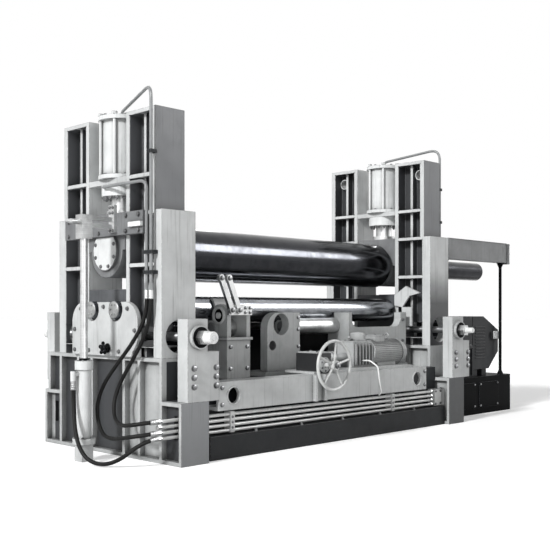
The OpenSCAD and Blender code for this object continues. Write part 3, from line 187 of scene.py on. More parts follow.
@dataclass(frozen=True)
class Enamel:
    """Machine enamel on welded plate or castings.

    Brushed on by hand, so it gives a soft sheen, cloudy tone and faint runs. It darkens with oil and dust
    near the floor, takes painted shade in its corners and creases, and wears through to steel along edges.

    Attributes:
        slot: Material slot of the record.
        coat: Main colour.
        cloud: Colour of the cloudy patches.
        grime_and_shade: Colour of the dirt in runs and near the floor, and of the painted shade in corners.
        bare: Colour of the steel at worn edges.
        rough: Roughness of the clean coat.
        corner_shade_share: Share of painted shade in corners.
        grain_mm: Size of the grain of the surface, coarser on castings.
        grain_deep_mm: Depth of that grain.
        edge_mm: Width of the worn edges.
        gloss: Strength of the sheen, lower where oil and dust dull a dark coat.
        panels: Groups of panels with their own coat, most of them painted shade.
    """

    slot: str
    coat: str
    cloud: str
    grime_and_shade: str = "#2A2A2A"
    bare: str = "#3A3B3C"
    rough: float = 0.5
    corner_shade_share: float = 0.75
    grain_mm: float = 14.0
    grain_deep_mm: float = 0.5
    edge_mm: float = 8.0
    gloss: float = 0.5
    panels: tuple[Panels, ...] = ()

    def make(self, name: str) -> bpy.types.Material:
        """Build the enamel's nodes.

        Args:
            name: Name of the material.

        Returns:
            The material.
        """
        material, tree, shader, place = blank(name)
        patch_mm, run_mm, run_len_mm, dust_top = 420.0, 26.0, 700.0, 0.5
        cloud = add(tree, "ShaderNodeTexNoise", {"Scale": 1000 / patch_mm, "Detail": 6.0, "Roughness": 0.62},
                    {"Vector": place}).outputs[0]
        lengthen = add(tree, "ShaderNodeMapping",
                       {"Scale": (1000 / run_mm, 1000 / run_mm, 1000 / run_len_mm)}, {"Vector": place})
        runs = add(tree, "ShaderNodeTexNoise", {"Scale": 1.0, "Detail": 4.0}, {"Vector": lengthen.outputs[0]})
        grain = add(tree, "ShaderNodeTexNoise", {"Scale": 1000 / self.grain_mm, "Detail": 4.0},
                    {"Vector": place}).outputs[0]
        cloudy = add(tree, "ShaderNodeMapRange", {1: 0.38, 2: 0.66}, {0: cloud}).outputs[0]
        tone = add(tree, "ShaderNodeMix", {6: linear(self.coat), 7: linear(self.cloud)}, {0: cloudy},
                   data_type="RGBA").outputs[2]
        for group in self.panels:
            tone = add(tree, "ShaderNodeMix", {7: linear(group.coat)}, {0: group.mask(tree, place), 6: tone},
                       data_type="RGBA").outputs[2]
        # Painted shade: ambient occlusion darkens corners and creases towards the grime colour
        corner = add(tree, "ShaderNodeAmbientOcclusion", {"Distance": 0.14}, samples=6, only_local=True)
        shaded_corners = add(tree, "ShaderNodeMapRange", {1: 0.95, 2: 0.35, 3: 0.0, 4: self.corner_shade_share},
                     {0: corner.outputs["AO"]}).outputs[0]
        streaky = add(tree, "ShaderNodeMapRange", {1: 0.56, 2: 0.78, 3: 0.0, 4: 0.35},
                      {0: runs.outputs[0]}).outputs[0]
        height = add(tree, "ShaderNodeSeparateXYZ", links={0: place}).outputs[2]
        low = add(tree, "ShaderNodeMapRange", {1: dust_top, 2: 0.0, 3: 0.0, 4: 0.55}, {0: height}).outputs[0]
        dusty = add(tree, "ShaderNodeMath", {}, {0: low, 1: cloud}, operation="MULTIPLY").outputs[0]
        film = add(tree, "ShaderNodeMath", {}, {0: streaky, 1: dusty}, operation="MAXIMUM").outputs[0]
        # Dirt from runs and dust near the floor, together with the painted shade of the corners
        dirt_and_shade = add(tree, "ShaderNodeMath", {}, {0: film, 1: shaded_corners}, operation="MAXIMUM").outputs[0]
        soiled_and_shaded = add(tree, "ShaderNodeMix", {7: linear(self.grime_and_shade)}, {0: dirt_and_shade, 6: tone},
                     data_type="RGBA").outputs[2]
        rounded = add(tree, "ShaderNodeBevel", {"Radius": self.edge_mm / 1000}, samples=6).outputs[0]
        facing = add(tree, "ShaderNodeNewGeometry").outputs["Normal"]
        turned = add(tree, "ShaderNodeVectorMath", {}, {0: rounded, 1: facing},
                     operation="DOT_PRODUCT").outputs["Value"]
        edge = add(tree, "ShaderNodeMapRange", {1: 0.985, 2: 0.90}, {0: turned}).outputs[0]
        chipped = add(tree, "ShaderNodeMapRange", {1: 0.36, 2: 0.56}, {0: grain}).outputs[0]
        worn = add(tree, "ShaderNodeMath", {}, {0: edge, 1: chipped}, operation="MULTIPLY").outputs[0]
        colour = add(tree, "ShaderNodeMix", {7: linear(self.bare)}, {0: worn, 6: soiled_and_shaded},
                     data_type="RGBA").outputs[2]
        sheen = add(tree, "ShaderNodeMapRange", {1: 0.3, 2: 0.7, 3: self.rough - 0.1, 4: self.rough + 0.12},
                    {0: cloud}).outputs[0]
        bump = add(tree, "ShaderNodeBump", {"Strength": 0.6, "Distance": self.grain_deep_mm / 1000},
                   {"Height": grain, "Normal": rounded}).outputs[0]
        wire(tree, shader, colour, sheen, bump)
        shader.inputs["Specular IOR Level"].default_value = self.gloss
        return material


@dataclass(frozen=True)
class TurnedSteel:
    """Steel that was turned or ground about an axis.

    The tool leaves fine rings, which draw a highlight out into a band, and handling leaves dark oxide
    patches.

    Attributes:
        slot: Material slot of the record.
        tone: Colour of the clean metal.
        oxide: Colour of the dull patches.
        rough: Roughness of the clean metal.
        ring_mm: Spacing of the tool marks, drawn coarser than the real 0.2 mm so that they show.
        along: Axis that the piece was turned about.
    """

    slot: str
    tone: str
    oxide: str
    rough: float
    ring_mm: float = 6.0
    along: Axis = Axis.X

    def make(self, name: str) -> bpy.types.Material:
        """Build the steel's nodes.

        Args:
            name: Name of the material.

        Returns:
            The material.
        """
        material, tree, shader, place = blank(name)
        patch_mm, round_mm = 260.0, 900.0
        stretch = tuple(1000 / self.ring_mm if share else 1000 / round_mm for share in self.along.value)
        ringed = add(tree, "ShaderNodeMapping", {"Scale": stretch}, {"Vector": place}).outputs[0]
        rings = add(tree, "ShaderNodeTexNoise", {"Scale": 1.0, "Detail": 3.0}, {"Vector": ringed}).outputs[0]
        patch = add(tree, "ShaderNodeTexNoise", {"Scale": 1000 / patch_mm, "Detail": 7.0, "Roughness": 0.65},
                    {"Vector": place}).outputs[0]
        dull = add(tree, "ShaderNodeMapRange", {1: 0.46, 2: 0.70}, {0: patch}).outputs[0]
        clean = add(tree, "ShaderNodeMix", {6: linear(self.tone), 7: linear(self.oxide)}, {0: dull},
                    data_type="RGBA").outputs[2]
        lined = add(tree, "ShaderNodeMapRange", {1: 0.35, 2: 0.65, 3: 0.0, 4: 0.3}, {0: rings}).outputs[0]
        colour = add(tree, "ShaderNodeMix", {7: linear(self.oxide)}, {0: lined, 6: clean},
                     data_type="RGBA").outputs[2]
        rough = add(tree, "ShaderNodeMapRange", {1: 0.3, 2: 0.75, 3: self.rough, 4: self.rough + 0.18},
                    {0: patch}).outputs[0]
        bump = add(tree, "ShaderNodeBump", {"Strength": 0.25, "Distance": 0.0004},
                   {"Height": rings}).outputs[0]
        wire(tree, shader, colour, rough, bump)
        shader.inputs["Metallic"].default_value = 1.0
        return material


@dataclass(frozen=True)
class HoseRubber:
    """Nitrile rubber cover of a pressure hose.

    It is cured under a cloth wrap, which leaves low turns in a matt surface that dust clings to.

    Attributes:
        slot: Material slot of the record.
        tone: Colour of the rubber.
        dust: Colour of the dust that lies on it.
        wrap_mm: Width of a turn of the wrap.
    """

    slot: str
    tone: str = "#101010"
    dust: str = "#262625"
    wrap_mm: float = 52.0

    def make(self, name: str) -> bpy.types.Material:
        """Build the rubber's nodes on the hose's own UV map, in metres along the hose.

        Args:
            name: Name of the material.

        Returns:
            The material.
        """
        material, tree, shader, place = blank(name)
        along = add(tree, "ShaderNodeUVMap", uv_map="UVMap").outputs[0]
        # A band of the wave texture is 314 mm long at a scale of 1
        band_mm, patches_a_metre = 314.0, 9.0
        wrap = add(tree, "ShaderNodeTexWave", {"Scale": band_mm / self.wrap_mm, "Distortion": 0.4},
                   {"Vector": along}, bands_direction="Y").outputs[1]
        patch = add(tree, "ShaderNodeTexNoise", {"Scale": patches_a_metre, "Detail": 6.0},
                    {"Vector": place}).outputs[0]
        dusty = add(tree, "ShaderNodeMapRange", {1: 0.45, 2: 0.75, 3: 0.0, 4: 0.7}, {0: patch}).outputs[0]
        colour = add(tree, "ShaderNodeMix", {6: linear(self.tone), 7: linear(self.dust)}, {0: dusty},
                     data_type="RGBA").outputs[2]
        rough = add(tree, "ShaderNodeMapRange", {1: 0.3, 2: 0.7, 3: 0.42, 4: 0.66}, {0: patch}).outputs[0]
        bump = add(tree, "ShaderNodeBump", {"Strength": 0.4, "Distance": 0.0008}, {"Height": wrap}).outputs[0]
        wire(tree, shader, colour, rough, bump)
        shader.inputs["Specular IOR Level"].default_value = 0.2
        return material


# Faces of the housings, the keeper and the worm box that have a coat of their own; on the housings' sunk webs
# and flanges, the bases' bays and the front faces that coat is painted shade
LEFT_END, RIGHT_END = ((-2.6, -2.0),), ((2.0, 2.6),)
COLUMN_TOP, COLUMN_CEILING, BASE_CEILING = 3.6, 3.491, 0.995
WEB_DEPTHS = ((-0.792, -0.392), (0.392, 0.792))
SIDE_DEPTHS = ((-0.792, -0.597), (-0.552, -0.392), (0.392, 0.552), (0.597, 0.792))
UPPER_FACES = ((-0.8205, -0.8195), (0.8195, 0.8205))
LOWER_FACE = ((-0.9205, -0.9195),)
BASE_FACES = ((-1.2205, -1.2195), (1.2195, 1.2205))
# Colours of the painted shade in the columns' sunk webs, darker at the drive end, and in the bases' bays
LEFT_WEB_SHADE, RIGHT_WEB_SHADE, BAY_SHADE = "#5C5E61", "#3C3E41", "#323437"
# Painted shade on the sunk webs of the columns and on the flanges' inner faces beside them, up to the column
# ceiling
LEFT_SHADED_WEBS = Panels(((-2.424, -2.176),), WEB_DEPTHS, LEFT_WEB_SHADE, COLUMN_CEILING)
LEFT_SHADED_SIDES = Panels(((-2.478, -2.424), (-2.176, -2.122)), SIDE_DEPTHS, LEFT_WEB_SHADE, COLUMN_CEILING)
RIGHT_SHADED_WEBS = Panels(((2.116, 2.364),), WEB_DEPTHS, RIGHT_WEB_SHADE, COLUMN_CEILING)
RIGHT_SHADED_SIDES = Panels(((2.062, 2.116), (2.364, 2.418)), SIDE_DEPTHS, RIGHT_WEB_SHADE, COLUMN_CEILING)
# Painted shade on the front and back faces of the upper columns
SHADED_UPPER_FRONTS = Panels(LEFT_END + RIGHT_END, UPPER_FACES, "#66686B", COLUMN_TOP)
# Painted shade on the front face of the drive end's lower column, full below 1.6 m and fading out up to 2.05
# m
SHADED_LOWER_FRONT = Panels(RIGHT_END, LOWER_FACE, "#3A3C3E", top=2.05, fade=0.45)
# Painted shade in the sunk bays of the bases
LEFT_SHADED_BAYS = Panels(((-2.427, -2.113),), ((-1.178, -0.900), (-0.300, 1.108)), BAY_SHADE, BASE_CEILING)
RIGHT_SHADED_BAYS = Panels(((2.113, 2.427),), ((-0.300, 1.108),), BAY_SHADE, BASE_CEILING)
# Painted shade on the front and back faces of the bases, far darker at the drive end
LEFT_SHADED_FRONTS = Panels(LEFT_END, BASE_FACES, "#86888A", COLUMN_TOP)
RIGHT_SHADED_FRONTS = Panels(RIGHT_END, BASE_FACES, "#3F4143", COLUMN_TOP)
CLAMP_BAR = Panels(((-2.600, -2.5515),), ((-0.710, -0.300),), "#E4E6E6", COLUMN_TOP)
WORM_BOX = Panels(((-0.506, -0.264),), ((-1.181, -0.859),), "#1C1D1F", top=1.025)


class Finish(Enum):
    """Finishes of the machine, each named for the real material; several also carry painted shade."""

    # Pale oil enamel brushed on welded plate: a soft sheen, cloudy patches, painted shade in the corners
    HOUSING = Enamel("light_machine_paint", "#CBCDCD", "#B8BABA",
                     panels=(LEFT_SHADED_WEBS, LEFT_SHADED_SIDES, RIGHT_SHADED_WEBS, RIGHT_SHADED_SIDES, SHADED_UPPER_FRONTS, SHADED_LOWER_FRONT))
    LIGHT = Enamel("light_machine_paint", "#C6C8C8", "#B2B4B4")
    PALE = Enamel("light_machine_paint", "#DEE0E0", "#CACCCC", corner_shade_share=0.65)
    BASE = Enamel("light_machine_paint", "#BCBEBE", "#A2A4A4", corner_shade_share=0.9,
                  panels=(LEFT_SHADED_BAYS, RIGHT_SHADED_BAYS, LEFT_SHADED_FRONTS, RIGHT_SHADED_FRONTS))
    STAND = Enamel("light_machine_paint", "#BBBDBD", "#A1A4A4", corner_shade_share=0.85)
    # Grey enamel on chocks and covers: the same brushed coat, dulled where oil reaches it; the darker grey of
    # the lower chocks is painted shade
    GREY = Enamel("grey_machine_paint", "#7A7C7D", "#68696B")
    CHOCK = replace(GREY, panels=(CLAMP_BAR,))
    DEEP = Enamel("grey_machine_paint", "#55575A", "#45474A", bare="#77787A", gloss=0.3)
    # Dark and black enamel on the bed and the drive: nearly matt, with edges worn to paler steel; on the bed
    # and the rear roll stands the dark coat is painted shade
    DARK = Enamel("dark_machine_paint", "#2A2C2E", "#222427", bare="#6A6B6B", gloss=0.15)
    BLACK = Enamel("black_machine_paint", "#0D0E0F", "#141517", "#101011", "#55565A", rough=0.42, gloss=0.03)
    # Enamel on sand-cast iron: the coarse skin of the casting breaks up the sheen
    CASTING = Enamel("grey_machine_paint", "#BDBFBF", "#A2A4A4", grain_mm=9, grain_deep_mm=1.6)
    WORM_CASTING = replace(CASTING, panels=(WORM_BOX,))
    DARK_CASTING = Enamel("dark_machine_paint", "#26282B", "#1E2022", bare="#606163", grain_mm=9,
                          grain_deep_mm=1.6, gloss=0.2)
    # Painted cast iron of the handwheel: rubbed smooth by hands, so it shines a little more
    WHEEL = Enamel("cast_handwheel", "#D2D3D2", "#B4B6B5", bare="#8A8B8B", rough=0.4, grain_mm=7,
                   grain_deep_mm=0.8)
    # Forged roll steel, turned and ground: it mirrors the room in long bands; the top roll's steel is toned
    # far darker than the lower rolls' as a painted dark reflection
    ROLL = TurnedSteel("ground_roll_steel", "#3E3F42", "#2C2D30", rough=0.1)
    LOWER_ROLL = TurnedSteel("ground_roll_steel", "#9A9CA0", "#6C6E72", rough=0.14)
    # Machined carbon steel: bright, with the rings of the tool and dark patches of oxide
    BRIGHT = TurnedSteel("bright_steel", "#C9CACA", "#8C8D8D", rough=0.28)
    UPRIGHT = TurnedSteel("bright_steel", "#DCDDDD", "#A6A7A7", rough=0.3, along=Axis.Z)
    BOLT = TurnedSteel("bright_steel", "#8B8C8D", "#4E4F50", rough=0.36, ring_mm=3)
    # Drawn steel pipe under thin paint: smooth and glossy, with wear in narrow lines
    PIPE = Enamel("steel_pipe", "#E8E9E8", "#D8D9D8", bare="#8E8F8F", rough=0.3, corner_shade_share=0.5, edge_mm=2,
                  gloss=0.7)
    RISER = Enamel("steel_pipe", "#8E9091", "#77797A", bare="#5E5F60", rough=0.34, corner_shade_share=0.5, edge_mm=2)
    # Nitrile rubber: matt black, with the turns of the cloth that it was cured under
    HOSE = HoseRubber("hose_rubber")

    def material(self) -> bpy.types.Material:
        """Give the finish's material, made once."""
        name = f"{self.value.slot}_{self.name.lower()}"
        return bpy.data.materials.get(name) or self.value.make(name)


NODE_FINISHES: dict[Finish, tuple[str, ...]] = {
    Finish.HOUSING: ("left_front_column", "left_rear_column", "right_front_column", "right_rear_column"),
    Finish.LIGHT: ("left_crosshead", "right_crosshead", "left_screw_brackets", "right_screw_brackets",
                   "front_bed_beam", "rear_bed_beam", "lower_chock_cover"),
    Finish.STAND: ("front_roll_stands",),
    Finish.PALE: ("left_lift_cylinder", "right_lift_cylinder", "balance_cylinder"),
    Finish.BASE: ("left_base", "right_base"),
    Finish.CHOCK: ("left_top_chock", "right_top_chock"),
    Finish.GREY: ("cable_arm",),
    # The lower chocks take the darker grey as painted shade
    Finish.DEEP: ("left_lower_chock", "right_lower_chock"),
    Finish.CASTING: ("adjuster_motor",),
    Finish.WORM_CASTING: ("adjuster_gearbox",),
    # The bed and the rear roll stands take the dark coat as painted shade
    Finish.DARK: ("bed_frame", "gear_case", "rear_roll_stands"),
    Finish.DARK_CASTING: ("reducer", "drive_motor"),
    Finish.BLACK: ("drive_plinth", "conduit"),
    Finish.WHEEL: ("handwheel",),
    # The top roll's dark steel tone is a painted dark reflection
    Finish.ROLL: ("top_roll",),
    Finish.LOWER_ROLL: ("front_lower_roll", "rear_lower_roll"),
    Finish.BRIGHT: ("left_feed_screws", "right_feed_screws", "front_backup_rollers", "rear_backup_rollers",
                    "guide_bars"),
    Finish.UPRIGHT: ("left_ram", "right_ram", "balance_rod"),
    Finish.PIPE: ("base_pipes",),
    Finish.RISER: ("left_riser_pipes", "right_riser_pipe"),
}


def dress_nodes() -> None:
    """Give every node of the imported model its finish."""
    for finish, names in NODE_FINISHES.items():
        for name in names:
            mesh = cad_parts[name].data
            mesh.materials.clear()
            mesh.materials.append(finish.material())


def cross_frame(axis: Sequence[float]) -> np.ndarray:
    """Give three unit vectors: the axis, and two square to it.

    Args:
        axis: Direction, not zero.

    Returns:
        Matrix with the axis in its first row.
    """
    main = np.asarray(axis, float)
    main = main / np.linalg.norm(main)
    helper = np.array((0.0, 0.0, 1.0)) if abs(main[2]) < 0.9 else np.array((1.0, 0.0, 0.0))
    side = np.cross(helper, main)
    side = side / np.linalg.norm(side)
    return np.array((main, side, np.cross(main, side)))


@dataclass
class Shell:
    """A surface as whole arrays.

    Attributes:
        points: Points, one row each.
        quads: Faces as rows of four point numbers.
        uv: A UV pair for each point, where a pattern follows the surface.
    """

    points: np.ndarray
    quads: np.ndarray
    uv: np.ndarray | None = None

    def repeated(self, points: np.ndarray) -> "Shell":
        """Give the surface's faces to each row of moved points.

        Args:
            points: Moved points, one row of the whole surface for each copy.

        Returns:
            One surface with all the copies.
        """
        steps = np.arange(len(points))[:, None, None] * len(self.points)
        return Shell(points.reshape(-1, 3), (self.quads[None] + steps).reshape(-1, 4))

    def copies(self, places: Sequence[Vec]) -> "Shell":
        """Repeat the surface at each place: every point plus every place.

        Args:
            places: Offsets of the copies.

        Returns:
            One surface with all the copies.
        """
        return self.repeated(self.points[None] + np.asarray(places, float).reshape(-1, 1, 3))

    def turned(self, axis: Axis, centre: Vec, angles: np.ndarray) -> "Shell":
        """Repeat the surface round an axis: each point's part square to the axis turns by each angle.

        Args:
            axis: Axis of the turn.
            centre: Point on the axis.
            angles: Angles of the copies in radians.

        Returns:
            One surface with all the copies.
        """
        way = cross_frame(axis.value)
        along, u, v = ((self.points - np.asarray(centre)) @ way.T).T[:, None]
        c, s = np.cos(angles)[:, None], np.sin(angles)[:, None]
        spun = np.stack(np.broadcast_arrays(along, u * c - v * s, u * s + v * c), -1)
        return self.repeated(spun @ way + np.asarray(centre))


def joined(shells: Sequence[Shell]) -> Shell:
    """Put several surfaces into one.

    Args:
        shells: Surfaces to join.

    Returns:
        One surface.
    """
    starts = np.cumsum([0] + [len(s.points) for s in shells[:-1]])
    return Shell(np.concatenate([s.points for s in shells]),
                 np.concatenate([s.quads + k for s, k in zip(shells, starts)]))


def grid_quads(rows: int, cols: int, wrap: bool) -> np.ndarray:
    """Number the faces of a grid of points.

    Args:
        rows: Count of rows.
        cols: Count of points in a row.
        wrap: Whether the last column meets the first.

    Returns:
        Faces as rows of four point numbers.
    """
    row = np.arange(rows - 1)[:, None] * cols
    col = np.arange(cols if wrap else cols - 1)[None]
    a, b = row + col, row + (col + 1) % cols
    return np.stack((a, b, b + cols, a + cols), -1).reshape(-1, 4)


def lathe(profile: Sequence[tuple[float, float]], centre: Vec, axis: Axis, sides: int = 24) -> Shell:
    """Turn a profile about an axis: place along the axis, and radius times cosine and sine across it.

    Args:
        profile: Pairs of distance along the axis and radius.
        centre: Point on the axis where the distance is zero.
        axis: Axis of the turn.
        sides: Count of points round it, six for a hexagon.

    Returns:
        The turned surface.
    """
    along, radius = np.asarray(profile, float).T
    angle = np.arange(sides) * 2 * math.pi / sides
    local = np.stack((np.broadcast_to(along[:, None], (len(along), sides)),
                      radius[:, None] * np.cos(angle), radius[:, None] * np.sin(angle)), -1)
    points = local.reshape(-1, 3) @ cross_frame(axis.value) + np.asarray(centre)
    return Shell(points, grid_quads(len(along), sides, True))


def bolts(places: Sequence[Vec], axis: Axis, size: float) -> Shell:
    """Make hexagon bolt heads on round washers: a turned hexagon and a turned disc at each place.

    Args:
        places: Centres of the bolts on the face that they clamp.
        axis: Direction in which the heads stand out.
        size: Thread diameter.

    Returns:
        All the bolts as one surface.
    """
    washer, head, reach, chamfer = 0.18 * size, 0.84 * size, 0.92 * size, 0.08 * size
    disc = lathe([(0, 0), (0, 1.1 * size), (washer, 1.1 * size), (washer, 0)], (0, 0, 0), axis, 12)
    hexagon = lathe([(washer, 0), (washer, reach), (head - chamfer, reach), (head, 0.8 * reach), (head, 0)],
                    (0, 0, 0), axis, 6)
    return joined([disc, hexagon]).copies(places)


def nuts(places: Sequence[Vec], axis: Axis, size: float) -> Shell:
    """Make nuts on studs: a bolt head with the stud's round end standing out of it.

    Args:
        places: Centres of the studs on the face that they clamp.
        axis: Direction of the studs.
        size: Thread diameter.

    Returns:
        All the nuts as one surface.
    """
    stud = cap((0, 0, 0), axis, (0, 0.5 * size), 1.35 * size, (0.1 * size, 0.1 * size), 10)
    return joined([bolts(places, axis, size), stud.copies(places)])


def cap(centre: Vec, axis: Axis, radii: tuple[float, float], thick: float, chamfer: tuple[float, float],
        sides: int) -> Shell:
    """Turn a cap or a ring: out along its seat, up its wall, in along a chamfer and across its face.

    Args:
        centre: Middle of its seat.
        axis: Direction in which it stands out.
        radii: Inner and outer radius, the inner one zero for a closed cap.
        thick: Thickness.
        chamfer: Size of the chamfer along the axis and inwards.
        sides: Count of points round it.

    Returns:
        The cap.
    """
    inner, outer = radii
    shoulder, rim = thick - chamfer[0], outer - chamfer[1]
    profile = [(0, inner), (0, outer), (shoulder, outer), (thick, rim), (thick, inner)]
    return lathe(profile, centre, axis, sides)


def ring_places(centre: Vec, axis: Axis, radius: float, count: int, start: float = 0.0) -> list[Vec]:
    """Give places evenly round a circle: radius times cosine and sine in the plane square to the axis.

    Args:
        centre: Centre of the circle.
        axis: Axis of the circle.
        radius: Radius of the circle.
        count: Count of places.
        start: First angle in degrees.

    Returns:
        The places.
    """
    angle = np.radians(start) + np.arange(count) * 2 * math.pi / count
    local = np.stack((np.zeros(count), radius * np.cos(angle), radius * np.sin(angle)), -1)
    return [tuple(p) for p in local @ cross_frame(axis.value) + np.asarray(centre)]


def sweep(path: np.ndarray, radius: np.ndarray | float, sides: int, capped: bool = True) -> Shell:
    """Carry a circle along a path, square to it at each point, with the least twist.

    The ring's first direction is the last ring's, less its part along the path.

    Args:
        path: Points of the path, close enough to bend smoothly.
        radius: Radius, or one for each point.
        sides: Count of points round the ring.
        capped: Whether the ends close to a point on the path.

    Returns:
        The tube, with UV pairs of turn and distance along it.
    """
    path = np.asarray(path, float)
    radius = np.broadcast_to(radius, len(path)).astype(float)
    ahead = np.gradient(path, axis=0)
    ahead = ahead / np.linalg.norm(ahead, axis=1)[:, None]
    side = np.empty_like(path)
    side[0] = cross_frame(ahead[0])[1]
    for i in range(1, len(path)):
        flat = side[i - 1] - ahead[i] * (side[i - 1] @ ahead[i])
        side[i] = flat / np.linalg.norm(flat)
    up = np.cross(ahead, side)
    if capped:
        path, ahead = path[[0, *range(len(path)), -1]], ahead[[0, *range(len(ahead)), -1]]
        side, up = side[[0, *range(len(side)), -1]], up[[0, *range(len(up)), -1]]
        radius = np.concatenate(([0.0], radius, [0.0]))
    angle = np.arange(sides) * 2 * math.pi / sides
    ring = np.cos(angle)[None, :, None] * side[:, None] + np.sin(angle)[None, :, None] * up[:, None]
    points = path[:, None] + radius[:, None, None] * ring
    run = np.concatenate(([0.0], np.cumsum(np.linalg.norm(np.diff(path, axis=0), axis=1))))
    uv = np.stack(np.broadcast_arrays(angle[None] / (2 * math.pi), run[:, None]), -1).reshape(-1, 2)
    return Shell(points.reshape(-1, 3), grid_quads(len(path), sides, True), uv)


def smooth_path(route: Sequence[Vec], step: float) -> np.ndarray:
    """Run a smooth curve through a route's points: a cubic for each stretch, with half the chords as slopes.

    Args:
        route: Points that the curve passes through.
        step: Greatest distance between the points of the result.

    Returns:
        Points along the curve.
    """
    knots = np.asarray(route, float)
    slopes = np.gradient(knots, axis=0)
    count = max(2, math.ceil(np.linalg.norm(np.diff(knots, axis=0), axis=1).max() / step))
    t = np.linspace(0, 1, count, endpoint=False)[None, :, None]
    a, b, m, n = knots[:-1, None], knots[1:, None], slopes[:-1, None], slopes[1:, None]
    curve = ((2 * t**3 - 3 * t**2 + 1) * a + (t**3 - 2 * t**2 + t) * m
             + (3 * t**2 - 2 * t**3) * b + (t**3 - t**2) * n)
    return np.concatenate((curve.reshape(-1, 3), knots[-1:]))


def bent_path(corners: Sequence[Vec], bend: float | Sequence[float]) -> np.ndarray:
    """Round the corners of a pipe's route: each becomes a curve between points one bend away from it.

    Args:
        corners: Ends and corners of the route.
        bend: Distance from a corner at which its bend starts, or one for each corner.

    Returns:
        Points along the pipe.
    """
    knots = np.asarray(corners, float)
    before, corner, after = knots[:-2], knots[1:-1], knots[2:]
    into, out = before - corner, after - corner
    reach = np.broadcast_to(np.asarray(bend, float), len(corner))[:, None]
    start = corner + into / np.linalg.norm(into, axis=1)[:, None] * reach
    end = corner + out / np.linalg.norm(out, axis=1)[:, None] * reach
    t = np.linspace(0, 1, 9)[None, :, None]
    arcs = (1 - t)**2 * start[:, None] + 2 * t * (1 - t) * corner[:, None] + t**2 * end[:, None]
    return np.concatenate((knots[:1], arcs.reshape(-1, 3), knots[-1:]))


def beads(lines: Sequence[tuple[Vec, Vec]], radius: float) -> Shell:
    """Lay weld beads along straight seams: a round cord whose radius swells at each ripple of the weld.

    Args:
        lines: Ends of the seams.
        radius: Mean radius of the bead.

    Returns:
        All the beads as one surface.
    """
    ripple, rings_a_ripple = 0.030, 3
    made = []
    for start, end in np.asarray(lines, float):
        count = max(4, round(np.linalg.norm(end - start) / ripple * rings_a_ripple))
        share = np.linspace(0, 1, count)[:, None]
        swell = 1 + 0.16 * np.cos(np.arange(count) * 2 * math.pi / rings_a_ripple)
        made.append(sweep(start + share * (end - start), radius * swell, 6))
    return joined(made)


def plate(low: Sequence[float], high: Sequence[float], axis: Axis, corner: float,
          edge: float = 0.003) -> Shell:
    """Make a plate with round corners and a chamfered face, as loops of one outline at rising levels.

    The outline is a quarter circle at each corner. The last loops draw in by the chamfer and to the middle.

    Args:
        low: Lowest corner of the plate's box.
        high: Highest corner of the plate's box.
        axis: Direction of the chamfered face.
        corner: Radius of the corners.
        edge: Size of the chamfer.

    Returns:
        The plate.
    """
    way = cross_frame(axis.value)
    ends = np.stack((np.asarray(low, float), np.asarray(high, float))) @ way.T
    low_l, high_l = ends.min(0), ends.max(0)
    steps = 5
    count = 4 * steps
    quarters = np.arange(4) * math.pi / 2
    turn = (np.linspace(0, math.pi / 2, steps)[None] + quarters[:, None]).ravel()
    corner_u = np.repeat(np.sign(np.cos(quarters + math.pi / 4)), steps)
    corner_v = np.repeat(np.sign(np.sin(quarters + math.pi / 4)), steps)
    middle, half = (low_l + high_l) / 2, (high_l - low_l) / 2

    def loop(level: float, inset: float) -> np.ndarray:
        """Give the outline at one level, drawn in by the inset."""
        r = max(corner - inset, 0.0005)
        u = middle[1] + corner_u * (half[1] - inset - r) + r * np.cos(turn)
        v = middle[2] + corner_v * (half[2] - inset - r) + r * np.sin(turn)
        return np.stack((np.full(count, level), u, v), -1)

    base, face = low_l[0], high_l[0]
    bottom, top = np.tile(middle, (count, 1)), np.tile(middle, (count, 1))
    bottom[:, 0], top[:, 0] = base, face
    local = np.stack((bottom, loop(base, 0), loop(face - edge, 0), loop(face, edge), top))
    return Shell(local.reshape(-1, 3) @ way, grid_quads(len(local), count, True))


def piece(name: str, shell: Shell, finish: Finish, body: Body = Body.FRAME) -> bpy.types.Object:
    """Make a surface a finished piece of the machine.

    Args:
        name: Name of the piece.
        shell: Its surface.
        finish: Its finish.
        body: Body that it rides on.

    Returns:
        The new object.
    """
    mesh = bpy.data.meshes.new(name)
    mesh.from_pydata(shell.points, [], shell.quads)
    if shell.uv is not None:
        corners = np.empty(len(mesh.loops), np.int32)
        mesh.loops.foreach_get("vertex_index", corners)
        mesh.uv_layers.new(name="UVMap").data.foreach_set("uv", shell.uv[corners].ravel())
    work = bmesh.new()
    work.from_mesh(mesh)
    bmesh.ops.remove_doubles(work, verts=work.verts, dist=1e-6)
    bmesh.ops.recalc_face_normals(work, faces=work.faces)
    work.to_mesh(mesh)
    work.free()
    mesh.polygons.foreach_set("use_smooth", np.ones(len(mesh.polygons), bool))
    mesh.set_sharp_from_angle(angle=SHARP_ANGLE)
    mesh.materials.append(finish.material())
    made = bpy.data.objects.new(name, mesh)
    bpy.context.scene.collection.objects.link(made)
    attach(made, body.value)
    log.info("%s: %d faces on %s", name, len(mesh.polygons), body.value)
    return made


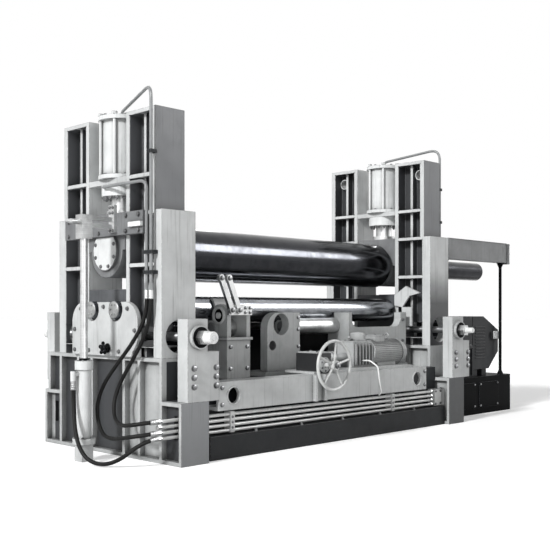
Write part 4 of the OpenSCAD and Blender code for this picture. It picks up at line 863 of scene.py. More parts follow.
@dataclass
class Studio:
    """Camera, floor and light.

    Attributes:
        eye: Place of the camera.
        ahead: Direction of view, level.
        focal_px: Focal length in pixels of the image.
        horizon_px: Height of the horizon in the image.
        image_px: Side of the image.
        floor_half: Half of the floor's side.
    """

    eye: Vec = (-7.914, -7.823, 1.50)
    ahead: Vec = (0.7123, 0.7019, 0.0)
    focal_px: float = 891.3
    horizon_px: float = 310.6
    image_px: float = 550.0
    floor_half: float = 120.0

    def camera(self) -> None:
        """Set the camera level, with the horizon lowered by the lens shift."""
        data = bpy.data.cameras.new("camera")
        data.sensor_width = 36.0
        data.lens = data.sensor_width * self.focal_px / self.image_px
        data.shift_y = (self.horizon_px - self.image_px / 2) / self.image_px
        data.clip_end = 500.0
        camera = bpy.data.objects.new("camera", data)
        camera.location = self.eye
        camera.rotation_euler = (math.pi / 2, 0.0, math.atan2(self.ahead[1], self.ahead[0]) - math.pi / 2)
        bpy.context.scene.collection.objects.link(camera)
        bpy.context.scene.camera = camera

    def hang(self, data: bpy.types.Light, toward: Vec, gloss_only: bool = False) -> bpy.types.Object:
        """Hang a lamp that shines against a direction.

        Args:
            data: Light of the lamp.
            toward: Direction from the machine to the lamp.
            gloss_only: Whether it shows in shiny surfaces only, like a white card beside them.

        Returns:
            The lamp.
        """
        lamp = bpy.data.objects.new(data.name, data)
        elevation = math.atan2(toward[2], math.hypot(toward[0], toward[1]))
        lamp.rotation_euler = (math.pi / 2 - elevation, 0.0, math.atan2(toward[1], toward[0]) + math.pi / 2)
        lamp.visible_diffuse = not gloss_only
        bpy.context.scene.collection.objects.link(lamp)
        return lamp

    def sun(self, name: str, toward: Vec, strength: float, spread: float, gloss_only: bool = False) -> None:
        """Hang a far, soft lamp.

        Args:
            name: Name of the lamp.
            toward: Direction from the machine to the lamp.
            strength: Light that it gives, in watts a square metre.
            spread: Angle that it fills, in degrees.
            gloss_only: Whether it shows in shiny surfaces only.
        """
        data = bpy.data.lights.new(name, "SUN")
        data.energy = strength
        data.angle = math.radians(spread)
        self.hang(data, toward, gloss_only)

    def window(self, name: str, place: Vec, toward: Vec, power: float, side: float) -> None:
        """Hang a near, square lamp, whose light fades along the machine.

        Args:
            name: Name of the lamp.
            place: Middle of the lamp.
            toward: Direction from the machine to the lamp.
            power: Power in watts.
            side: Side of the square.
        """
        data = bpy.data.lights.new(name, "AREA")
        data.energy = power
        data.size = side
        self.hang(data, toward).location = place

    def backdrop(self) -> None:
        """Make the world white to the camera and in mirrors, and a dim room to all else."""
        world = bpy.data.worlds.new("studio")
        world.use_nodes = True
        tree = world.node_tree
        tree.nodes.clear()
        rays = add(tree, "ShaderNodeLightPath").outputs
        mirrored = add(tree, "ShaderNodeMath", {}, {0: rays["Is Glossy Ray"], 1: rays["Is Transmission Ray"]},
                       operation="MAXIMUM").outputs[0]
        seen = add(tree, "ShaderNodeMath", {}, {0: rays["Is Camera Ray"], 1: mirrored},
                   operation="MAXIMUM").outputs[0]
        fill = add(tree, "ShaderNodeBackground", {"Color": (1, 1, 1, 1), "Strength": 0.22}).outputs[0]
        white = add(tree, "ShaderNodeBackground", {"Color": (1, 1, 1, 1), "Strength": 1.0}).outputs[0]
        mixed = add(tree, "ShaderNodeMixShader", {}, {0: seen, 1: fill, 2: white}).outputs[0]
        add(tree, "ShaderNodeOutputWorld", {}, {0: mixed})
        bpy.context.scene.world = world

    def floor(self) -> None:
        """Lay a pale floor, a little lighter to the camera, which keeps the machine's shadow."""
        material, tree, shader, place = blank("pale_studio_floor")
        mottles_a_metre = 0.7
        mottle = add(tree, "ShaderNodeTexNoise", {"Scale": mottles_a_metre, "Detail": 3.0},
                     {"Vector": place}).outputs[0]
        tone = add(tree, "ShaderNodeMix", {6: linear("#EDEDED"), 7: linear("#F4F4F4")}, {0: mottle},
                   data_type="RGBA").outputs[2]
        tree.links.new(tone, shader.inputs["Base Color"])
        shader.inputs["Roughness"].default_value = 0.9
        shader.inputs["Specular IOR Level"].default_value = 0.0
        seen = add(tree, "ShaderNodeLightPath").outputs["Is Camera Ray"]
        glow = add(tree, "ShaderNodeMath", {1: 0.38}, {0: seen}, operation="MULTIPLY").outputs[0]
        shader.inputs["Emission Color"].default_value = (1, 1, 1, 1)
        tree.links.new(glow, shader.inputs["Emission Strength"])
        h = self.floor_half
        mesh = bpy.data.meshes.new("floor")
        mesh.from_pydata([(-h, -h, 0), (h, -h, 0), (h, h, 0), (-h, h, 0)], [], [(0, 1, 2, 3)])
        mesh.materials.append(material)
        floor = bpy.data.objects.new("floor", mesh)
        bpy.context.scene.collection.objects.link(floor)

    def light(self) -> None:
        """Light the machine: a key from the idle end, a window, a card for the rolls and a back lamp."""
        bpy.context.scene.view_settings.view_transform = "Standard"
        self.backdrop()
        self.sun("key", (-0.86, -0.10, 0.50), 3.2, 8.0)
        self.window("front_window", (-4.8, -6.0, 1.8), (-0.5, -0.86, 0.05), 70.0, 2.5)
        self.sun("roll_card", (0.64, -0.62, 0.44), 2.8, 24.0, gloss_only=True)
        self.sun("back_lamp", (0.45, 0.80, 0.40), 0.9, 30.0)


@dataclass
class Hose:
    """A pressure hose between two fittings, with a crimped ferrule at each end.

    Attributes:
        name: Name of the piece.
        node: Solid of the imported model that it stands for.
        route: Points along its middle line.
        diameter: Outer diameter.
        ferrule_len: Length of a ferrule.
        ferrule_t: Thickness of a ferrule.
        crimp_deep: Depth of its crimps.
    """

    name: str
    node: str
    route: Sequence[Vec]
    diameter: float = 0.040
    ferrule_len: float = 0.085
    ferrule_t: float = 0.0075
    crimp_deep: float = 0.0022

    def build(self) -> None:
        path = smooth_path(self.route, 0.018)
        hose = piece(self.name, sweep(path, self.diameter / 2, 20), Finish.HOSE)
        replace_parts(hose, self.node)
        both = joined([self.ferrule(path), self.ferrule(path[::-1])])
        ferrules = piece(self.name + "_ferrules", both, Finish.BRIGHT)

    def ferrule(self, path: np.ndarray) -> Shell:
        """Make the ferrule over the hose's first stretch: a sleeve whose radius dips at four crimps.

        Args:
            path: Points of the hose, from the end that the ferrule grips.

        Returns:
            The sleeve.
        """
        run = np.concatenate(([0.0], np.cumsum(np.linalg.norm(np.diff(path, axis=0), axis=1))))
        at = np.linspace(0, self.ferrule_len, 26)
        middle = np.stack([np.interp(at, run, path[:, k]) for k in range(3)], -1)
        crimp = self.crimp_deep * np.clip(np.cos(at / self.ferrule_len * 8 * math.pi), 0, 1)
        return sweep(middle, self.diameter / 2 + self.ferrule_t - crimp, 16)


def hoses() -> list[Hose]:
    """Give the three hoses at the idle end, each hanging in the curve that its own weight gives it.

    Returns:
        The hoses.
    """
    riser_a = [
        (-2.540, -0.750, 1.700), (-2.540, -0.750, 1.610), (-2.542, -0.741, 1.507), (-2.550, -0.714, 1.408),
        (-2.563, -0.671, 1.315), (-2.581, -0.617, 1.228), (-2.601, -0.559, 1.145), (-2.623, -0.496, 1.065),
        (-2.645, -0.432, 0.987), (-2.665, -0.367, 0.909), (-2.684, -0.305, 0.829), (-2.703, -0.251, 0.743),
        (-2.723, -0.215, 0.648), (-2.744, -0.205, 0.547), (-2.763, -0.230, 0.449), (-2.783, -0.286, 0.365),
        (-2.807, -0.365, 0.303), (-2.832, -0.458, 0.268), (-2.855, -0.559, 0.258), (-2.870, -0.661, 0.261),
        (-2.879, -0.763, 0.272), (-2.880, -0.865, 0.290), (-2.858, -0.964, 0.308), (-2.793, -1.041, 0.323),
        (-2.695, -1.070, 0.330), (-2.655, -1.070, 0.330)]
    riser_b = [
        (-2.540, -0.820, 1.700), (-2.540, -0.820, 1.610), (-2.542, -0.814, 1.509), (-2.546, -0.795, 1.410),
        (-2.552, -0.764, 1.314), (-2.561, -0.721, 1.223), (-2.571, -0.671, 1.136), (-2.583, -0.616, 1.052),
        (-2.596, -0.560, 0.969), (-2.611, -0.505, 0.886), (-2.628, -0.455, 0.800), (-2.649, -0.418, 0.708),
        (-2.675, -0.404, 0.612), (-2.703, -0.429, 0.519), (-2.734, -0.490, 0.445), (-2.769, -0.576, 0.407),
        (-2.804, -0.670, 0.396), (-2.837, -0.765, 0.396), (-2.861, -0.863, 0.405), (-2.849, -0.961, 0.419),
        (-2.789, -1.039, 0.434), (-2.695, -1.070, 0.440), (-2.655, -1.070, 0.440)]
    balance = [
        (-3.040, -0.220, 0.800), (-3.040, -0.220, 0.720), (-3.041, -0.225, 0.631), (-3.046, -0.239, 0.543),
        (-3.054, -0.260, 0.456), (-3.063, -0.286, 0.371), (-3.070, -0.319, 0.288), (-3.073, -0.359, 0.208),
        (-3.067, -0.409, 0.135), (-3.052, -0.473, 0.074), (-3.028, -0.551, 0.039), (-3.000, -0.635, 0.028),
        (-2.970, -0.719, 0.039), (-2.940, -0.797, 0.068), (-2.909, -0.870, 0.110), (-2.876, -0.935, 0.162),
        (-2.836, -0.997, 0.213), (-2.778, -1.049, 0.254), (-2.695, -1.070, 0.275), (-2.655, -1.070, 0.275)]
    return [Hose("long_riser_hose", "riser_hose_a", riser_a),
            Hose("short_riser_hose", "riser_hose_b", riser_b),
            Hose("balance_cylinder_hose", "balance_hose", balance)]


def box(low: Vec, high: Vec, axis: Axis = Axis.Z) -> Shell:
    """Make a plain block with hardly broken edges.

    Args:
        low: Lowest corner.
        high: Highest corner.
        axis: Direction of its finished face.

    Returns:
        The block.
    """
    return plate(low, high, axis, 0.004)


def grid_places(xs: Sequence[float], ys: Sequence[float], zs: Sequence[float]) -> list[Vec]:
    """Give every place that has one of the given X, Y and Z.

    Args:
        xs: Places along X.
        ys: Places along Y.
        zs: Places along Z.

    Returns:
        The places.
    """
    return [(x, y, z) for x in xs for y in ys for z in zs]


@dataclass
class LiftTrim:
    """Studs, bolts and the pipe union of a lift cylinder.

    Attributes:
        name: End of the machine.
        x: Place of the cylinder's axis.
        gland_z: Underside of the gland.
        gland_r: Radius of the ring of studs under the gland.
        studs: Count of those studs.
        stud_size: Thread diameter of the studs.
        foot_z: Top of the foot flange.
        top_z: Top of the head flange.
        flange_r: Radius of the rings of bolts in the flanges.
        flange_bolts: Count of the bolts in a ring.
        bolt_size: Thread diameter of those bolts.
        between: Angle at which the bolts stand between the tie rods.
    """

    name: str
    x: float
    gland_z: float = 2.700
    gland_r: float = 0.182
    studs: int = 14
    stud_size: float = 0.026
    foot_z: float = 2.925
    top_z: float = 3.545
    flange_r: float = 0.222
    flange_bolts: int = 6
    bolt_size: float = 0.018
    between: float = 35.0

    def build(self) -> None:
        """Make the fasteners and the union."""
        gland = ring_places((self.x, 0, self.gland_z), Axis.Z, self.gland_r, self.studs)
        made = [nuts(gland, Axis.DOWN, self.stud_size)]
        for z in (self.foot_z, self.top_z):
            ring = ring_places((self.x, 0, z), Axis.Z, self.flange_r, self.flange_bolts, self.between)
            made.append(bolts(ring, Axis.Z, self.bolt_size))
        piece(self.name + "_lift_fasteners", joined(made), Finish.BOLT)
        union = lathe([(0, 0), (0, 0.036), (0.026, 0.036), (0.03, 0.027), (0.046, 0.027), (0.046, 0)],
                      (self.x, 0, self.top_z), Axis.Z, 6)
        piece(self.name + "_lift_union", union, Finish.BRIGHT)


@dataclass
class ScrewTrim:
    """Bracket bolts, and the seals, end caps and threads of the feed screws, of one housing.

    Attributes:
        name: End of the machine.
        x: Centre line of the housing.
        faces: Outer faces of the front and rear brackets.
        columns: Places of the bracket bolts from the centre line.
        levels: Heights of the bracket bolts.
        bolt_size: Thread diameter of the bracket bolts.
        screw_z: Height of the screws.
        collar_t: Thickness of the collars.
        seal_r: Radii of the dark seal in a collar.
        cap_r: Radius of the cap on a screw's end.
        cap_run: Where that cap starts and ends, from the collar's face.
        cap_bore: Inner radius of the cap's near end.
        cap_edge: Chamfer of the cap.
        thread: Lowest and highest radius of the thread.
        pitch: Pitch of the thread.
        runs: Where the front and rear threads start and end.
    """

    name: str
    x: float
    faces: tuple[float, float] = (-1.220, 1.310)
    columns: tuple[float, ...] = (-0.059, 0.226)
    levels: tuple[float, ...] = (0.76, 0.85, 0.94)
    bolt_size: float = 0.030
    screw_z: float = 1.240
    collar_t: float = 0.040
    seal_r: tuple[float, float] = (0.050, 0.104)
    cap_r: float = 0.060
    cap_run: tuple[float, float] = (0.083, 0.188)
    cap_bore: float = 0.030
    cap_edge: float = 0.006
    thread: tuple[float, float] = (0.0428, 0.0465)
    pitch: float = 0.014
    runs: tuple[tuple[float, float], ...] = ((-1.060, -0.400), (0.400, 1.150))

    def build(self) -> None:
        """Make the fasteners, seals and caps, and the threads, whose radius rises and falls once a pitch."""
        made, seals, caps = [], [], []
        near, far = self.cap_run
        inner, outer = self.seal_r
        r, edge = self.cap_r, self.cap_edge
        seal = [(-0.001, inner), (0.002, inner), (0.002, outer), (-0.001, outer)]
        screw_cap = [(near, self.cap_bore), (near, r), (far - edge, r), (far, r - edge), (far, 0)]
        for face, axis in zip(self.faces, (Axis.FRONT, Axis.Y)):
            middle = (self.x, face + axis.value[1] * self.collar_t, self.screw_z)
            spots = grid_places([self.x + c for c in self.columns], [face], self.levels)
            made.append(bolts(spots, axis, self.bolt_size))
            seals.append(lathe(seal, middle, axis, 40))
            caps.append(lathe(screw_cap, middle, axis, 32))
        piece(self.name + "_bracket_bolts", joined(made), Finish.BOLT)
        piece(self.name + "_screw_seals", joined(seals), Finish.BLACK)
        piece(self.name + "_screw_caps", joined(caps), Finish.PIPE)
        threads = []
        for start, end in self.runs:
            count = int((end - start) / self.pitch) * 2
            profile = [(start + k * self.pitch / 2, self.thread[k % 2]) for k in range(count)]
            threads.append(lathe(profile, (self.x, 0, self.screw_z), Axis.Y, 20))
        piece(self.name + "_screw_threads", joined(threads), Finish.BOLT)


@dataclass
class ChockTrim:
    """Bolts, the pale face of the end cover and the tail seal, on the sliding top chocks.

    Attributes:
        keeper_x: Outer face of the keepers, from the middle.
        keeper_ys: Places of the keeper bolts across the machine.
        keeper_zs: Heights of the keeper bolts.
        keeper_size: Thread diameter of the keeper bolts.
        cover_x: Face of the end cover.
        axis_z: Height of the roll.
        cover_r: Radius of the painted face.
        cover_top: Height of the straight upper edge of the painted face.
        ring_r: Radius of the ring of bolts in that face.
        ring_size: Thread diameter of those bolts.
        tail_r: Radii of the seal round the top roll's tail.
    """

    keeper_x: float = 2.551
    keeper_ys: tuple[float, ...] = (-0.63, -0.42, 0.06, 0.42, 0.63)
    keeper_zs: tuple[float, ...] = (2.305, 2.462)
    keeper_size: float = 0.024
    cover_x: float = -2.515
    axis_z: float = 2.125
    cover_r: float = 0.203
    cover_top: float = 2.262
    ring_r: float = 0.176
    ring_size: float = 0.020
    tail_r: tuple[float, float] = (0.150, 0.215)

    def build(self) -> None:
        """Make the bolts, the painted face and the seal."""
        made = [bolts(grid_places([x], self.keeper_ys, self.keeper_zs), axis, self.keeper_size)
                for x, axis in ((-self.keeper_x, Axis.LEFT), (self.keeper_x, Axis.X))]
        ring = ring_places((self.cover_x, 0, self.axis_z), Axis.LEFT, self.ring_r, 8, 22.5)
        made.append(bolts([p for p in ring if p[2] < self.cover_top], Axis.LEFT, self.ring_size))
        piece("top_chock_bolts", joined(made), Finish.BOLT, Body.PRESS)
        piece("end_cover_face", self.face(), Finish.PALE, Body.PRESS)
        seal = cap((self.keeper_x, 0, self.axis_z), Axis.X, self.tail_r, 0.020, (0.006, 0.006), 40)
        piece("tail_seal", seal, Finish.GREY, Body.PRESS)

    def face(self) -> Shell:
        """Give the painted face: a straight upper edge joined to an arc, and the arc's own rim.

        Returns:
            The surface.
        """
        count = 49
        rise = math.asin((self.cover_top - self.axis_z) / self.cover_r)
        angle = np.linspace(math.pi - rise, 2 * math.pi + rise, count)
        arc = np.stack((-self.cover_r * np.cos(angle), self.axis_z + self.cover_r * np.sin(angle)), -1)
        edge = np.stack((np.linspace(arc[0, 0], arc[-1, 0], count), np.full(count, self.cover_top)), -1)
        front, back = self.cover_x - 0.003, self.cover_x + 0.001
        rings = [np.column_stack((np.full(count, x), line))
                 for x, line in ((front, edge), (front, arc), (back, arc))]
        return Shell(np.concatenate(rings), grid_quads(len(rings), count, False))


@dataclass
class CoverTrim:
    """Bolts and knob of the lower chock's cover, and the caps on the lower rolls' necks beside it.

    Attributes:
        face: Outer face of the cover.
        spots: Places of the bolts across and up the cover.
        knob: Place of the knob across and up the cover.
        neck_x: End of the necks.
        neck_y: Distance of the necks from the middle.
        neck_z: Height of the necks.
        neck_t: Thickness of their caps.
    """

    face: float = -2.530
    spots: tuple[tuple[float, float], ...] = (
        (-0.54, 1.08), (-0.27, 1.08), (0.27, 1.08), (0.54, 1.08), (-0.54, 1.30), (0.54, 1.30),
        (-0.42, 1.52), (0.42, 1.52), (0.0, 1.54))
    knob: tuple[float, float] = (-0.075, 1.110)
    neck_x: float = -2.545
    neck_y: float = 0.210
    neck_z: float = 1.510
    neck_t: float = 0.014

    def build(self) -> None:
        """Make the bolts, the knob and the caps."""
        piece("cover_bolts", bolts([(self.face, y, z) for y, z in self.spots], Axis.LEFT, 0.022), Finish.BOLT)
        centre = (self.face, *self.knob)
        hub = lathe([(0, 0.05), (0.01, 0.05), (0.014, 0.024), (0.045, 0.022), (0.05, 0.04), (0.068, 0.04),
                     (0.074, 0.03), (0.076, 0)], centre, Axis.LEFT)
        ball = lathe([(0.044, 0), (0.046, 0.014), (0.052, 0.021), (0.06, 0.023), (0.068, 0.02),
                      (0.074, 0.012), (0.076, 0)], (0, 0, 0), Axis.LEFT, 14)
        lobes = ball.copies(ring_places(centre, Axis.LEFT, 0.05, 5, 90))
        piece("cover_knob", joined([hub, lobes]), Finish.BLACK)
        ends = (("front", -self.neck_y, Body.FRONT_ROLL), ("rear", self.neck_y, Body.REAR_ROLL))
        for name, y, body in ends:
            disc = cap((self.neck_x, y, self.neck_z), Axis.LEFT, (0, 0.084), self.neck_t, (0.004, 0.006), 32)
            ring = ring_places((self.neck_x - self.neck_t, y, self.neck_z), Axis.LEFT, 0.055, 6)
            piece(name + "_neck_cap", joined([disc, bolts(ring, Axis.LEFT, 0.012)]), Finish.BRIGHT, body)


@dataclass
class BalanceTrim:
    """Bolts and rod wiper of the balance cylinder, and the bolts of its plate on the keeper.

    Attributes:
        x: Place of the cylinder along the machine.
        y: Place of the cylinder across the machine.
        foot_z: Top of the foot flange.
        top_z: Top of the barrel.
        plate_x: Face of the plate on the keeper.
        plate_half: Distance of the plate's bolts from the cylinder's axis, across the machine.
        plate_zs: Heights of the plate's bolts.
    """

    x: float = -2.915
    y: float = -0.220
    foot_z: float = 0.230
    top_z: float = 1.000
    plate_x: float = -2.587
    plate_half: float = 0.025
    plate_zs: tuple[float, ...] = (2.318, 2.50, 2.555)

    def build(self) -> None:
        """Make the fasteners and the wiper."""
        foot = nuts(ring_places((self.x, self.y, self.foot_z), Axis.Z, 0.094, 6, 20), Axis.Z, 0.014)
        head = bolts(ring_places((self.x, self.y, self.top_z), Axis.Z, 0.069, 8), Axis.Z, 0.012)
        piece("balance_cylinder_bolts", joined([foot, head]), Finish.BOLT)
        wiper = lathe([(0, 0.042), (0, 0.052), (0.018, 0.05), (0.026, 0.043), (0.026, 0.0405)],
                      (self.x, self.y, self.top_z), Axis.Z)
        piece("rod_wiper", wiper, Finish.BLACK)
        ys = [self.y - self.plate_half, self.y + self.plate_half]
        spots = grid_places([self.plate_x], ys, self.plate_zs)
        piece("balance_plate_bolts", bolts(spots, Axis.LEFT, 0.016), Finish.BOLT, Body.PRESS)


@dataclass
class PipeTrim:
    """Unions, clamp bolts and foundation nuts along the bed.

    Attributes:
        y: Place of the pipes across the machine.
        zs: Heights of the pipes.
        ends: Where the unions start along the pipes.
        clamp_xs: Places of the clamps.
        clamp_y: Face of the clamps.
        block_y: Face of the coupling block.
        block_xs: Places of its bolts.
        block_zs: Heights of its bolts.
        anchors: Distance of the foundation bolts from the middle, along and across.
        plate_z: Top of the foot plates.
        rail_z: Top of the bed's foot rails.
        rail_xs: Places of the nuts along the rails.
        rail_y: Distance of the rails' nuts from the middle.
    """

    y: float = -1.070
    zs: tuple[float, ...] = (0.275, 0.330, 0.385, 0.440)
    ends: tuple[float, ...] = (-2.655, 1.835)
    clamp_xs: tuple[float, ...] = (-1.705, 1.005)
    clamp_y: float = -1.095
    block_y: float = -1.110
    block_xs: tuple[float, ...] = (1.908, 2.012)
    block_zs: tuple[float, ...] = (0.278, 0.442)
    anchors: tuple[float, float] = (2.270, 1.040)
    plate_z: float = 0.040
    rail_z: float = 0.240
    rail_xs: tuple[float, ...] = (-1.4, -0.7, 0.0, 0.7, 1.4)
    rail_y: float = 1.122

    def build(self) -> None:
        """Make the unions and the fasteners."""
        union = lathe([(0, 0.017), (0, 0.0255), (0.024, 0.0255), (0.026, 0.021), (0.048, 0.021),
                       (0.048, 0.017)], (0, 0, 0), Axis.X, 6)
        piece("pipe_unions", union.copies(grid_places(self.ends, [self.y], self.zs)), Finish.BRIGHT)
        between = [(low + high) / 2 for low, high in zip(self.zs, self.zs[1:])]
        x, y = self.anchors
        made = [bolts(grid_places(self.clamp_xs, [self.clamp_y], between), Axis.FRONT, 0.013),
                bolts(grid_places(self.block_xs, [self.block_y], self.block_zs), Axis.FRONT, 0.016),
                nuts(grid_places([-x, x], [-y, y], [self.plate_z]), Axis.Z, 0.036),
                nuts(grid_places(self.rail_xs, [-self.rail_y, self.rail_y], [self.rail_z]), Axis.Z, 0.022)]
        piece("bed_fasteners", joined(made), Finish.BOLT)


@dataclass
class RiserPipes:
    """Bent pipes from a lift cylinder down its front column, with clips that hold them to it.

    Attributes:
        name: End of the machine.
        node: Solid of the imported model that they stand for.
        routes: Corners of each pipe.
        bends: How far each pipe's bends reach from their corners.
        sockets: Places of the lower ends that take a hose.
        clips: Lowest and highest corners of the clips.
        radius: Radius of the pipes.
    """

    name: str
    node: str
    routes: Sequence[Sequence[Vec]]
    bends: Sequence[tuple[float, ...]]
    sockets: Sequence[Vec]
    clips: Sequence[tuple[Vec, Vec]]
    radius: float = 0.017

    def build(self) -> None:
        """Make the pipes, their sockets and their clips."""
        made = [sweep(bent_path(route, bend), self.radius, 16)
                for route, bend in zip(self.routes, self.bends)]
        if self.sockets:
            socket = lathe([(0, 0), (0, 0.027), (0.045, 0.027), (0.05, 0.023), (0.07, 0.023), (0.075, 0.017)],
                           (0, 0, 0), Axis.Z, 6)
            made.append(socket.copies(self.sockets))
        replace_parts(piece(self.name + "_riser", joined(made), Finish.RISER), self.node)
        piece(self.name + "_riser_clips", joined([box(low, high) for low, high in self.clips]), Finish.DARK)


@dataclass
class AdjusterTrim:
    """Lids, caps, fins and bolts of the adjuster on the front beam.

    Attributes:
        wheel_x: Place of the worm box along the machine.
        wheel_z: Height of the handwheel's shaft.
        worm_y: Front of the worm box.
        worm_top: Top of the worm box.
        worm_half: Half of the width of the worm box's lid.
        lid_t: Thickness of the lids.
        cap_t: Thickness of the bearing cap.
        case_top: Top of the finned case.
        dome: Place of the dome along the machine, and height of its lower edge.
        shaft: Place of the coupling along the machine, and height of its shaft.
        drain: Corners of the drain pipe.
        axis_y: Place of the motor's axis across the machine.
        axis_z: Height of the motor's axis.
        motor_r: Radius of the motor.
        motor_x: Ends of the motor.
        fins: Count of cooling fins in a full turn.
        fin_high: Height of the fins.
        fin_gap: Half of the angle over the motor's foot that has no fins, in radians.
        terminal_z: Lower and upper face of the terminal lid.
    """

    wheel_x: float = -0.385
    wheel_z: float = 0.890
    worm_y: float = -1.180
    worm_top: float = 1.020
    worm_half: float = 0.112
    lid_t: float = 0.014
    cap_t: float = 0.022
    case_top: float = 1.120
    dome: tuple[float, float] = (0.560, 1.210)
    shaft: tuple[float, float] = (0.040, 0.940)
    drain: tuple[Vec, ...] = ((0.48, -1.03, 0.90), (0.49, -1.14, 0.90), (0.52, -1.236, 0.83),
                              (0.55, -1.236, 0.66), (0.59, -1.236, 0.52), (0.60, -1.19, 0.485))
    axis_y: float = -0.890
    axis_z: float = 0.980
    motor_r: float = 0.155
    motor_x: tuple[float, float] = (0.690, 1.300)
    fins: int = 40
    fin_high: float = 0.013
    fin_gap: float = 0.75
    terminal_z: tuple[float, float] = (1.185, 1.197)

    def build(self) -> None:
        """Make the worm box's, the case's and the motor's parts."""
        self.worm_box()
        self.case()
        self.motor()

    def worm_box(self) -> None:
        """Put a lid on the worm box and a bearing cap round the handwheel's shaft."""
        x, y, half = self.wheel_x, self.worm_y, self.worm_half
        top = self.worm_top + self.lid_t
        lid = plate((x - half, y + 0.008, self.worm_top), (x + half, y + 0.312, top), Axis.Z, 0.02)
        disc = cap((x, y, self.wheel_z), Axis.FRONT, (0.03, 0.086), self.cap_t, (0.004, 0.006), 32)
        piece("worm_box_covers", joined([lid, disc]), Finish.CASTING)
        edge = grid_places([x - half + 0.02, x + half - 0.02], [y + 0.03, y + 0.16, y + 0.29], [top])
        ring = ring_places((x, y - self.cap_t, self.wheel_z), Axis.FRONT, 0.066, 6, 30)
        fasteners = joined([bolts(edge, Axis.Z, 0.012), bolts(ring, Axis.FRONT, 0.012)])
        piece("worm_box_bolts", fasteners, Finish.BOLT)

    def case(self) -> None:
        """Put a lid, a dome, a breather and a drain on the case, and a coupling on the cross shaft."""
        y, top = self.axis_y, self.case_top + self.lid_t
        dome_x, dome_z = self.dome
        shaft_x, shaft_z = self.shaft
        lid = plate((0.334, y - 0.125, self.case_top), (0.686, y + 0.125, top), Axis.Z, 0.02)
        dome = lathe([(0, 0.091), (0.012, 0.086), (0.022, 0.066), (0.028, 0.03), (0.03, 0)],
                     (dome_x, y, dome_z), Axis.Z, 32)
        collar = cap((dome_x, y, top), Axis.Z, (0.091, 0.108), 0.020, (0.004, 0.008), 32)
        breather = lathe([(0, 0), (0, 0.012), (0.03, 0.012), (0.03, 0.022), (0.055, 0.02), (0.06, 0)],
                         (0.40, y, top), Axis.Z, 16)
        coupling = lathe([(-0.05, 0.045), (-0.05, 0.078), (-0.006, 0.078), (-0.006, 0.05), (0.006, 0.05),
                          (0.006, 0.078), (0.05, 0.078), (0.05, 0.045)], (shaft_x, y, shaft_z), Axis.X, 32)
        piece("adjuster_case_covers", joined([lid, dome, collar, breather, coupling]), Finish.CASTING)
        edge = grid_places([0.352, 0.46, 0.668], [y - 0.11, y + 0.11], [top])
        ring = ring_places((shaft_x + 0.05, y, shaft_z), Axis.X, 0.062, 6)
        fasteners = joined([bolts(edge, Axis.Z, 0.012), bolts(ring, Axis.X, 0.012)])
        piece("adjuster_case_bolts", fasteners, Finish.BOLT)
        piece("drain_pipe", sweep(bent_path(self.drain, 0.03), 0.010, 10), Finish.PIPE)

    def motor(self) -> None:
        """Put fins, end rings, a fan grille, a terminal lid and an eye bolt on the motor."""
        y, z, r, high = self.axis_y, self.axis_z, self.motor_r, self.fin_high
        near, far = self.motor_x
        lid_low, lid_top = self.terminal_z
        fin = box((near + 0.035, y - 0.003, z + r - 0.004), (far - 0.025, y + 0.003, z + r + high))
        around = np.arange(self.fins) * 2 * math.pi / self.fins
        clear = around[np.abs(np.angle(np.exp(1j * (around - math.pi)))) > self.fin_gap]
        ring = lathe([(0, r - 0.01), (0, r + high), (0.024, r + high), (0.03, r - 0.01)],
                     (0, y, z), Axis.X, 48)
        grille = [lathe([(0, k - 0.006), (0.005, k - 0.006), (0.005, k), (0, k)],
                        (far + 0.095, y, z), Axis.X, 40) for k in (0.045, 0.07, 0.095, 0.12)]
        lid = plate((near + 0.115, y - 0.085, lid_low), (near + 0.305, y + 0.085, lid_top), Axis.Z, 0.012)
        turn = np.linspace(0, 2 * math.pi, 25)
        eye_r, eye_z = 0.03, z + r + 0.045
        eye = np.stack((np.full(len(turn), far - 0.16), y + eye_r * np.cos(turn),
                        eye_z + eye_r * np.sin(turn)), -1)
        cooling = fin.turned(Axis.X, (0, y, z), clear)
        rings = ring.copies([(near + 0.004, 0, 0), (far - 0.03, 0, 0)])
        made = joined([cooling, rings, *grille, lid, sweep(eye, 0.008, 8)])
        piece("adjuster_motor_fins", made, Finish.CASTING)
        corners = grid_places([near + 0.13, near + 0.29], [y - 0.07, y + 0.07], [lid_top])
        piece("terminal_lid_bolts", bolts(corners, Axis.Z, 0.009), Finish.BOLT)


@dataclass
class WheelTrim:
    """Nut that holds the handwheel on its shaft.

    Attributes:
        centre: Front of the hub.
    """

    centre: Vec = (-0.385, -1.370, 0.890)

    def build(self) -> None:
        """Make the nut on its washer."""
        piece("handwheel_nut", nuts([self.centre], Axis.FRONT, 0.034), Finish.BOLT, Body.HANDWHEEL)


